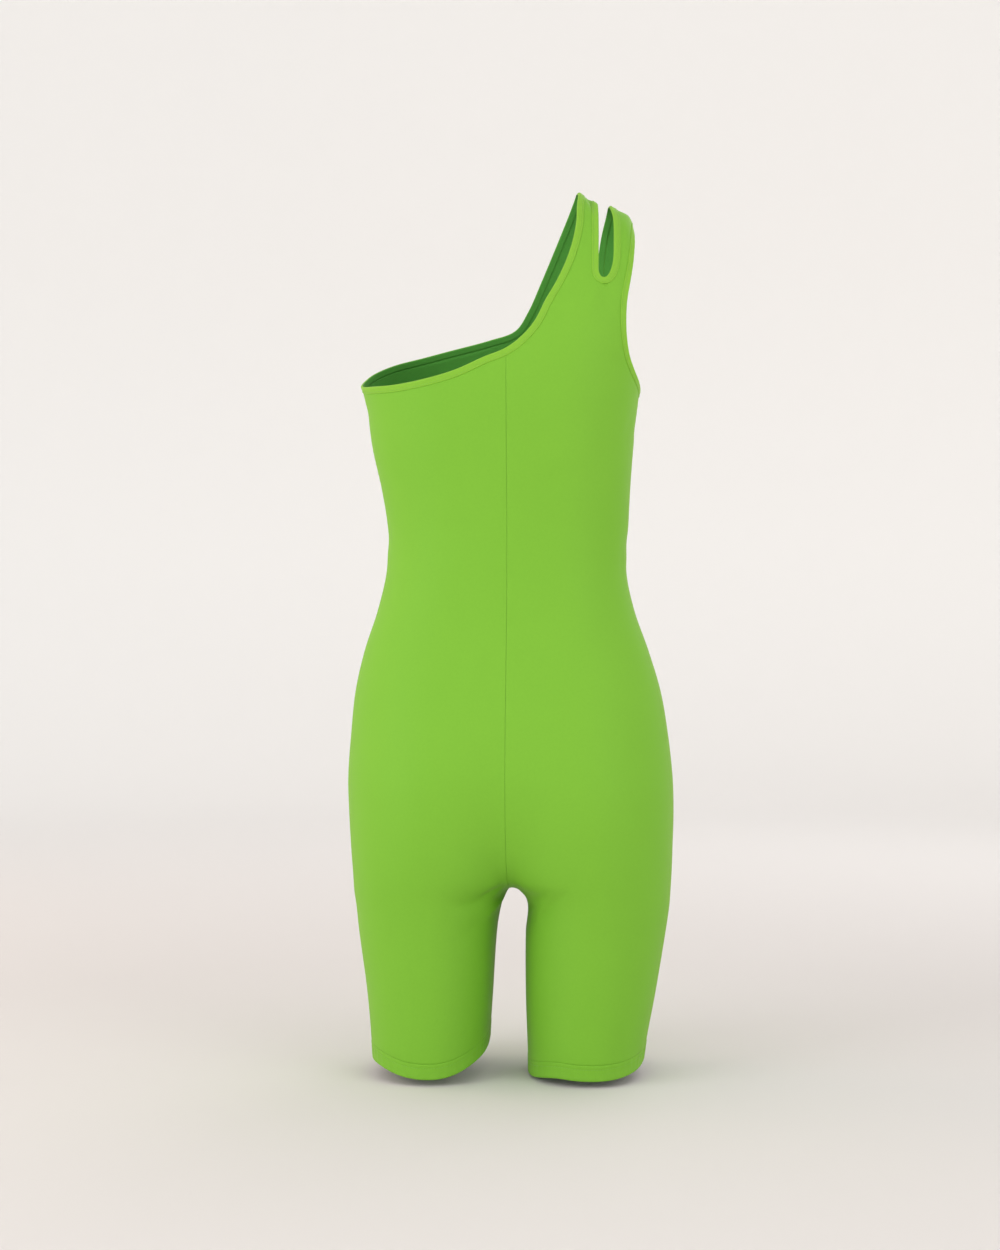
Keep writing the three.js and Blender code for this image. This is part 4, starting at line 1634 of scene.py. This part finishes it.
def ring_faces(rows: int, columns: int) -> Array:
    """Quads of a tube whose rows and columns both close on themselves."""
    numbers = np.arange(rows * columns).reshape(rows, columns)
    closed = np.concatenate([numbers, numbers[:1]])
    closed = np.concatenate([closed, closed[:, :1]], axis=1)
    return grid_faces(closed)


@dataclass(frozen=True)
class BandProfile:
    """The cut-through shape of a folded strip sewn along an edge.

    Distances run from the finished edge into the cloth, heights from the figure outwards.
    """

    width: float
    crown: float
    flat: float
    seam: float
    inside: float
    stitch_at: tuple[float, ...]
    stitch_sink: float
    stitch_width: float = 0.55
    fold_radius: float = 1.3
    seam_radius: float = 0.7
    crown_span: tuple[float, float] = (1.4, 0.62)
    under_radius: float = 0.12
    lowest: float = -0.45
    thread_rise: float = 0.08

    def outline(self) -> Array:
        """The closed outline: over the top from the fold to the seam, and back underneath.

        Returns:
            Rows of (distance, height).
        """
        t = np.array([0.0, 0.04, 0.1, 0.19, 0.3, 0.42, 0.55, 0.66, 0.74, 0.82, 0.9, 0.96, 0.99, 1.0])
        across = t * self.width
        rise = np.sqrt(np.clip(1 - (1 - across / self.fold_radius) ** 2, 0, 1))
        rise = np.where(across > self.fold_radius, 1.0, rise)
        start, share = self.crown_span
        top = mix(self.crown, self.flat, ease(across, start, share * self.width))
        fall = np.sqrt(np.clip(1 - (1 - (self.width - across) / self.seam_radius) ** 2, 0, 1))
        fall = np.where(self.width - across > self.seam_radius, 1.0, fall)
        height = mix(self.lowest, top, rise) * fall + (1 - fall) * self.seam
        for at in self.stitch_at:
            height = height - self.stitch_sink * np.exp(-(((across - at) / self.stitch_width) ** 2))
        under = np.array([0.96, 0.75, 0.5, 0.25, 0.1, 0.03])
        close = np.minimum(under, self.under_radius) / self.under_radius
        low = -self.inside * np.sqrt(1 - (1 - close) ** 2)
        low = np.minimum(low, self.lowest)
        return np.concatenate([
            np.stack([across, height], axis=-1),
            np.stack([under * self.width, low], axis=-1),
        ])

    def underneath(self) -> Array:
        """Which faces round the outline look inwards, past the fold and the seam."""
        outline = self.outline()
        last = len(outline) - 1
        low = outline[:, 1] <= self.lowest
        both = low & np.roll(low, -1)
        both[last] = False
        return both

    @property
    def thread_height(self) -> float:
        """Height of the stitches above the figure."""
        return self.flat - self.stitch_sink + self.thread_rise

    def carried(
        self, maker: MeshMaker, name: str, points: Array, uv: tuple[Array, Array], materials: list
    ) -> bpy.types.Object:
        """The piece that the outline sweeps along a closed edge.

        Args:
            maker: Makes the object.
            name: The piece's name.
            points: The outline's points at each step along the edge.
            uv: Their places on the cloth, in millimetres.
            materials: Its outer finish, and the darker inner one with painted shade.

        Returns:
            The object.
        """
        count, around = points.shape[:2]
        faces = ring_faces(count, around)
        flat = points.reshape(-1, 3)
        ways = (points - points.mean(axis=1, keepdims=True)).reshape(-1, 3)[faces].mean(axis=1)
        places = np.stack(uv, axis=-1).reshape(-1, 2) * MM
        # Faces underneath the band take the darker inside finish, which is painted shade.
        under = np.tile(self.underneath(), count)
        return maker.make(name, flat, looking(flat, faces, ways), materials, places, under)


@dataclass
class Bindings:
    """The three folded bindings round the neck, the armhole and the slot."""

    cut: Cut
    relief: Relief
    maker: MeshMaker
    spacing: float = 1.6
    pucker: float = 0.07
    pucker_pitch: float = 9.0
    seeds: dict[str, float] = field(default_factory=lambda: {"neck": 0.7, "arm": 1.4, "slot": 2.1})
    crest_radius: dict[str, float] = field(
        default_factory=lambda: {"neck": 2.0, "slot_inner": 6.5, "slot_outer": 1.5, "arm": 9.0}
    )
    profile: BandProfile = BandProfile(
        width=7.0, crown=1.15, flat=0.7, seam=0.05, inside=1.5, stitch_at=(5.3,), stitch_sink=0.2
    )

    @cached_property
    def rails(self) -> dict[str, tuple[Array, int]]:
        """Each finished edge in equal small steps, with the way into the cloth."""
        ways = {"neck": -1, "arm": 1, "slot": -1}
        loops = self.cut.loops()
        return {name: (closed_even_steps(loops[name], self.spacing), ways[name]) for name in ways}

    def rolled(self, key: str, points: Array, across: Array) -> Array:
        """How far the bands roll down over the shoulder towards their folded edges.

        The drop is that of a quarter circle, r - sqrt(r^2 - (r - d)^2) at distance d from the
        fold, and it dies out down the back and the front.

        Args:
            key: Which edge.
            points: Places on the figure.
            across: Distance of each from the folded edge.

        Returns:
            Drops in millimetres.
        """
        nearer_neck = -points[..., 0] < self.cut.held_across
        if key == "slot":
            inner, outer = self.crest_radius["slot_inner"], self.crest_radius["slot_outer"]
            radius = np.where(nearer_neck, inner, outer)
        else:
            radius = np.full(points.shape[:-1], self.crest_radius[key])
        short = np.clip(radius - across, 0.0, radius)
        drop = radius - np.sqrt(radius**2 - short**2)
        return drop * over_crest(points)

    def lifted(self, key: str, points: Array, walk: Array, profile: Array) -> Array:
        """Points raised off the figure, with the relief, puckers and the roll on the shoulder.

        Args:
            key: Which edge.
            points: Places on the figure.
            walk: Distance along the band at each.
            profile: Distance from the folded edge and height above the figure.

        Returns:
            The raised points.
        """
        normals = self.cut.figure.outward(points)
        wave = self.pucker * ripple(walk, self.pucker_pitch, self.seeds[key])
        lift = profile[..., 1] + wave + self.relief.lift(points, normals)
        lift = lift - self.rolled(key, points, profile[..., 0])
        return points + normals * lift[..., None]

    def band(self, key: str, name: str, materials: list) -> bpy.types.Object:
        """One binding: its outline carried along its edge.

        Args:
            key: Which edge.
            name: The piece's name.
            materials: Its outer finish, and the darker inner one with painted shade.

        Returns:
            The object.
        """
        rail, way = self.rails[key]
        outline = self.profile.outline()
        rows = [self.cut.shifted(rail, way * distance) for distance in outline[:, 0]]
        places = np.stack(rows, axis=1)
        walk = lengths(rail)[:, None] * np.ones(len(outline))
        shape = np.broadcast_to(outline, (*places.shape[:2], 2))
        points = self.lifted(key, places, walk, shape)
        return self.profile.carried(self.maker, name, points, (shape[..., 0], walk), materials)

    def stitches(self, key: str) -> tuple[Array, Array]:
        """The line of stitching on a binding, and the directions out of it."""
        rail, way = self.rails[key]
        across = self.profile.stitch_at[0]
        line = self.cut.shifted(rail, way * across)
        place = np.broadcast_to((across, self.profile.thread_height), (len(line), 2))
        points = self.lifted(key, line, lengths(rail), place)
        return points, self.cut.figure.outward(line)


@dataclass
class Hems:
    """The two turned-up leg hems, sewn with twin rows of stitches."""

    cut: Cut
    relief: Relief
    maker: MeshMaker
    turns: int = 300
    pucker: float = 0.2
    pucker_pitch: float = 9.0
    leg_centre: float = 78.0
    leg_radius: float = 72.0
    sewn_at: float = 9.0
    sewn_reach: float = 6.0
    corner_at: float = 12.0
    corner_reach: float = 22.0
    corner_gain: float = 3.2
    profile: BandProfile = BandProfile(
        width=16.0, crown=0.45, flat=0.28, seam=-0.12, inside=1.6,
        stitch_at=(7.3, 11.8), stitch_sink=0.25, thread_rise=0.1,
    )

    @cached_property
    def around(self) -> Array:
        """Angles once round a leg."""
        start = self.cut.seam_turn(np.zeros(1))[0]
        return start + np.arange(self.turns) * 2 * math.pi / self.turns

    def lifted(self, points: Array, above: Any, seed: float, height: Any) -> Array:
        """Points raised off the leg, with puckers that grow towards the stitching."""
        normals = self.cut.figure.outward(points)
        walk = np.arctan2(points[..., 1], np.abs(points[..., 0]) - self.leg_centre) * self.leg_radius
        size = self.pucker * (0.4 + 0.6 * np.exp(-(((above - self.sewn_at) / self.sewn_reach) ** 2)))
        corner = np.exp(-(((walk - self.corner_at) / self.corner_reach) ** 2))
        corner = corner * (points[..., 0] < 0)
        lift = height + size * (1 + self.corner_gain * corner) * ripple(walk, self.pucker_pitch, seed)
        lift = lift + self.relief.lift(points, normals)
        return points + normals * lift[..., None]

    def hem(self, side: Side, materials: list) -> bpy.types.Object:
        """One hem: its outline carried round the leg's edge.

        Args:
            side: The leg.
            materials: Its finish.

        Returns:
            The object.
        """
        outline = self.profile.outline()
        rows = [self.cut.hem_row(side, self.around, above) for above in outline[:, 0]]
        places = np.stack(rows, axis=1)
        above, height = (np.broadcast_to(part, places.shape[:2]) for part in outline.T)
        points = self.lifted(places, above, 1.0 + side.sign, height)
        walk = lengths(places[:, 0])[:, None] + np.zeros(places.shape[:2])
        name = f"hem_{side.value}_turned"
        return self.profile.carried(self.maker, name, points, (walk, above), materials)

    def stitches(self, side: Side, row: int) -> tuple[Array, Array]:
        """One row of stitching round a hem, and the directions out of it."""
        above = self.profile.stitch_at[row]
        line = self.cut.hem_row(side, self.around, above)
        points = self.lifted(line, above, 1.0 + side.sign, self.profile.thread_height)
        return points, self.cut.figure.outward(line)


@dataclass(frozen=True)
class Stitching:
    """Rows of short thread stitches, each a slim closed bead."""

    maker: MeshMaker
    pitch: float = 2.7
    length: float = 2.1
    width: float = 0.48
    height: float = 0.34
    around: int = 6
    along: int = 5

    def bead(self) -> tuple[Array, Array]:
        """One stitch along x: rings on an ellipsoid, closed by a short rim at each end.

        Returns:
            Its points and its quads.
        """
        share = np.linspace(-0.97, 0.97, self.along)
        radius = np.sqrt(1 - share**2)
        angle = np.arange(self.around) * 2 * math.pi / self.around
        x = np.repeat(share * self.length / 2, self.around)
        y = (radius[:, None] * np.cos(angle) * self.width / 2).ravel()
        z = (radius[:, None] * np.sin(angle) * self.height / 2).ravel()
        numbers = np.arange(self.along * self.around).reshape(self.along, self.around)
        tube = grid_faces(np.concatenate([numbers, numbers[:, :1]], axis=1))
        half = self.around // 2
        caps = []
        for ring, flip in ((numbers[0], True), (numbers[-1], False)):
            for step in range(half - 1):
                quad = [ring[step], ring[step + 1], ring[-2 - step], ring[-1 - step]]
                caps.append(quad[::-1] if flip else quad)
        return np.stack([x, y, z], axis=-1), np.concatenate([tube[:, ::-1], np.array(caps)])

    def rows(self, name: str, lines: list[tuple[Array, Array]], materials: list) -> bpy.types.Object:
        """All the stitches of one piece of sewing.

        Args:
            name: The piece's name.
            lines: Closed lines of points, each with the directions out of the cloth.
            materials: The thread.

        Returns:
            The object.
        """
        bead, quads = self.bead()
        points, faces, start = [], [], 0
        for line, normals in lines:
            ring = np.concatenate([line, line[:1]])
            out = np.concatenate([normals, normals[:1]])
            walked = lengths(ring)
            count = int(walked[-1] / self.pitch)
            at = (np.arange(count) + 0.5) * walked[-1] / count
            middle = sample(ring, walked, at)
            ahead = np.minimum(at + 1, walked[-1])
            onward = unit(sample(ring, walked, ahead) - sample(ring, walked, at - 1))
            up = unit(sample(out, walked, at))
            sideways = unit(np.cross(up, onward))
            axes = np.stack([onward, sideways, np.cross(onward, sideways)], axis=1)
            made = middle[:, None] + np.einsum("pk,nkc->npc", bead, axes)
            points.append(made.reshape(-1, 3))
            numbers = start + np.arange(count)[:, None, None] * len(bead) + quads[None]
            faces.append(numbers.reshape(-1, 4))
            start += count * len(bead)
        return self.maker.make(name, np.concatenate(points), np.concatenate(faces), materials)


# ------------------------------------------------------------------ studio


@dataclass
class Studio:
    """A pale round floor that turns up all round, soft lights and the camera."""

    target: Array
    floor: float
    azimuth: float = 183.2
    distance: float = 2.2
    field_height: float = 1.25
    floor_radius: float = 3.0
    turn_radius: float = 1.6
    wall_height: float = 1.6
    floor_rings: int = 12
    arc_steps: int = 32
    turns: int = 96
    centre_radius: float = 0.002
    lamp_size: float = 1.4
    # Radii over which the floor's painted shade fades out to the pale wall tone.
    painted_shade_full_within: float = 0.8
    painted_shade_gone_at: float = 4.3
    paper: PlainFinish = PlainFinish("studio_paper_painted_shade", (0.69, 0.66, 0.65), (0.945, 0.935, 0.925))

    def sweep(self) -> bpy.types.Object:
        """Floor and wall: a disc, a quarter circle and a wall, turned round the garment."""
        arc = np.linspace(0.0, math.pi / 2, self.arc_steps + 1)
        out = self.floor_radius + self.turn_radius * np.sin(arc)
        up = self.turn_radius * (1 - np.cos(arc))
        level = np.linspace(self.centre_radius, self.floor_radius, self.floor_rings + 1)[:-1]
        radius = np.concatenate([level, out, out[-1:]])
        height = np.concatenate([np.zeros(len(level)), up, up[-1:] + self.wall_height])
        turns = np.linspace(0.0, 2 * math.pi, self.turns + 1)[:-1]
        grid = np.stack([
            radius[:, None] * np.cos(turns) + self.target[0],
            radius[:, None] * np.sin(turns) + self.target[1],
            height[:, None] + np.full(len(turns), self.floor),
        ], axis=-1)
        numbers = np.arange(grid.size // 3).reshape(grid.shape[:2])
        rings = grid_faces(np.concatenate([numbers, numbers[:, :1]], axis=1))
        mesh = bpy.data.meshes.new("studio_sweep")
        faces = [numbers[0].tolist(), *rings[:, ::-1].tolist()]
        mesh.from_pydata(grid.reshape(-1, 3).tolist(), [], faces)
        mesh.shade_smooth()
        # Painted shade on the floor: 0 keeps the darker near tone, 1 the pale far one.
        far = mesh.attributes.new("far", "FLOAT", "POINT")
        share = np.clip((radius - self.painted_shade_full_within) / (self.painted_shade_gone_at - self.painted_shade_full_within), 0.0, 1.0)
        far.data.foreach_set("value", np.repeat(share, len(turns)))
        mesh.materials.append(self.paper.material())
        piece = bpy.data.objects.new("studio_sweep", mesh)
        bpy.context.scene.collection.objects.link(piece)
        piece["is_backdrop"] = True
        return piece

    def lamp(
        self, name: str, azimuth: float, height: float, away: float, power: float, colour: Colour
    ) -> None:
        """A large soft light that looks at the garment.

        Args:
            name: Its name.
            azimuth: Its bearing, as a camera's.
            height: Height above the target.
            away: Level distance from the target.
            power: Watts.
            colour: Its tint.
        """
        light = bpy.data.lights.new(name, "AREA")
        light.shape = "SQUARE"
        light.size = self.lamp_size
        light.energy = power
        light.color = colour
        lamp = bpy.data.objects.new(name, light)
        bpy.context.scene.collection.objects.link(lamp)
        self.place(lamp, azimuth, away, height)

    def place(self, thing: bpy.types.Object, azimuth: float, away: float, height: float) -> None:
        """Stands a camera or light round the garment, looking at it with its top up.

        Args:
            thing: The camera or light.
            azimuth: Its bearing in degrees, 0 from in front.
            away: Level distance from the target.
            height: Height above the target.
        """
        bearing = math.radians(azimuth)
        out = np.array([math.sin(bearing) * away, -math.cos(bearing) * away, height])
        thing.location = tuple(self.target + out)
        x, y, z = -out / np.linalg.norm(out)
        thing.rotation_euler = (math.acos(-z), 0.0, -math.atan2(x, y))

    def camera(self) -> None:
        """The camera, level with the target."""
        lens = bpy.data.cameras.new("camera")
        lens.sensor_width = 36.0
        lens.lens = lens.sensor_width * self.distance / self.field_height
        eye = bpy.data.objects.new("camera", lens)
        bpy.context.scene.collection.objects.link(eye)
        self.place(eye, self.azimuth, self.distance, 0.0)
        bpy.context.scene.camera = eye

    def world(self, colour: Colour, strength: float) -> None:
        """Even pale light from all round."""
        world = bpy.data.worlds.new("studio_air")
        world.use_nodes = True
        background = world.node_tree.nodes["Background"]
        background.inputs["Color"].default_value = opaque(colour)
        background.inputs["Strength"].default_value = strength
        bpy.context.scene.world = world

    def build(self) -> None:
        """Sets up everything round the garment."""
        self.sweep()
        self.camera()
        white = (1.0, 1.0, 1.0)
        self.world((1.0, 0.985, 0.965), 0.94)
        self.lamp("key", azimuth=130, height=0.5, away=2.3, power=20, colour=white)
        self.lamp("fill", azimuth=225, height=0.5, away=2.3, power=12, colour=white)
        self.lamp("warm", azimuth=78, height=0.6, away=2.2, power=8, colour=(1.0, 0.68, 0.45))
        self.lamp("front", azimuth=-25, height=1.3, away=2.3, power=8, colour=white)
        view = bpy.context.scene.view_settings
        view.view_transform = "Standard"
        view.look = "None"


# ------------------------------------------------------------------ garment


@dataclass(frozen=True)
class Sheet:
    """How one panel was cut, flat: width, length and area, in metres."""

    width: float
    length: float
    area: float


SHEETS = {
    "back_left": Sheet(0.255, 0.69, 0.112),
    "front_left": Sheet(0.27, 0.74, 0.142),
    "back_right": Sheet(0.27, 0.86, 0.122),
    "front_right": Sheet(0.27, 0.88, 0.150),
}


@dataclass
class Unitard:
    """The whole garment."""

    figure: Figure = Figure()
    held_drop: float = 1.2

    def finishes(self) -> dict[str, bpy.types.Material]:
        """Every material of the garment, by use."""
        finishes = {
            "cloth": KnitFinish("lime_jersey", (0.207, 0.485, 0.038), (0.162, 0.418, 0.027)),
            # The inside finish is a duller, darker green: partly the knit's wrong side, mostly painted shade
            # inside the garment and under the bands.
            "inside": KnitFinish(
                "lime_jersey_inside_painted_shade", (0.09, 0.34, 0.05), (0.06, 0.26, 0.035), roughness=0.8, sheen=0.05
            ),
            "binding": KnitFinish("lime_binding", (0.243, 0.510, 0.043), (0.190, 0.445, 0.030)),
            "thread": ThreadFinish("lime_thread", (0.19, 0.46, 0.04), (0.15, 0.40, 0.03)),
        }
        return {use: finish.material() for use, finish in finishes.items()}

    def attach(self, piece: bpy.types.Object, slot: str, *nodes: str) -> None:
        """Makes a piece part of the object, in the place of solids.

        Args:
            piece: The finished piece.
            slot: Not used.
            *nodes: The solids that it stands for.
        """
        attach(piece, "root")
        if nodes:
            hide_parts(*nodes)
        place = ", ".join(nodes) or "sewing"
        LOG.info("%s: %d vertices, for %s", piece.name, len(piece.data.vertices), place)

    def build(self) -> None:
        """Builds, dresses and attaches every piece."""
        cut = Cut(self.figure)
        origin = self.figure.crest_point(cut.held_across) - np.array([0.0, 0.0, self.held_drop])
        maker = MeshMaker(origin)
        relief = Relief(self.figure)
        looks = self.finishes()
        # Panels and hems take the darker inside finish on their inner sides as painted shade.
        cloth = [looks["cloth"], looks["inside"]]
        panels = Panels(cut, relief, maker)
        bindings = Bindings(cut, relief, maker)
        hems = Hems(cut, relief, maker)
        stitching = Stitching(maker)

        sewn: dict[str, bpy.types.Object] = {}
        for face in Face:
            for side, make in ((Side.LEFT, panels.left), (Side.RIGHT, panels.right)):
                node = f"{face.value}_{side.value}"
                sewn[node] = make(face, cloth)
                self.attach(sewn[node], "cloth", node)

        trims: list[bpy.types.Object] = []
        edges = (("neck", "binding_neck"), ("arm", "binding_armhole"), ("slot", "binding_slot"))
        for key, node in edges:
            band = bindings.band(key, f"{node}_folded", [looks["binding"], looks["inside"]])
            self.attach(band, "binding", node)
            line = bindings.stitches(key)
            thread = stitching.rows(f"stitches_{key}", [line], [looks["thread"]])
            self.attach(thread, "binding")
            trims += [band, thread]
        for side in Side:
            hem = hems.hem(side, cloth)
            self.attach(hem, "cloth", f"hem_{side.value}")
            lines = [hems.stitches(side, row) for row in range(len(hems.profile.stitch_at))]
            thread = stitching.rows(f"stitches_hem_{side.value}", lines, [looks["thread"]])
            self.attach(thread, "binding")
            trims += [hem, thread]

        for node, sheet in SHEETS.items():
            with_pieces = trims if node == "back_right" else []


FLOOR_GAP = 0.002
VIEW_OFFSET = (0.011, -0.0042, 0.006)


def plain(bounds: Any) -> list[list[float]]:
    """A box as plain lists of numbers."""
    return [[float(part) for part in corner] for corner in bounds]


def main() -> None:
    """Builds the garment inside its frame, then the studio round it."""
    logging.basicConfig(level=logging.INFO, format="%(name)s: %(message)s")
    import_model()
    solid_box = plain(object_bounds())
    Unitard().build()
    low, high = np.array(solid_box)
    middle = (low + high) / 2
    Studio(target=middle + np.array(VIEW_OFFSET), floor=float(low[2]) - FLOOR_GAP).build()
    LOG.info("sizes written")


if __name__ == "__main__":
    main()
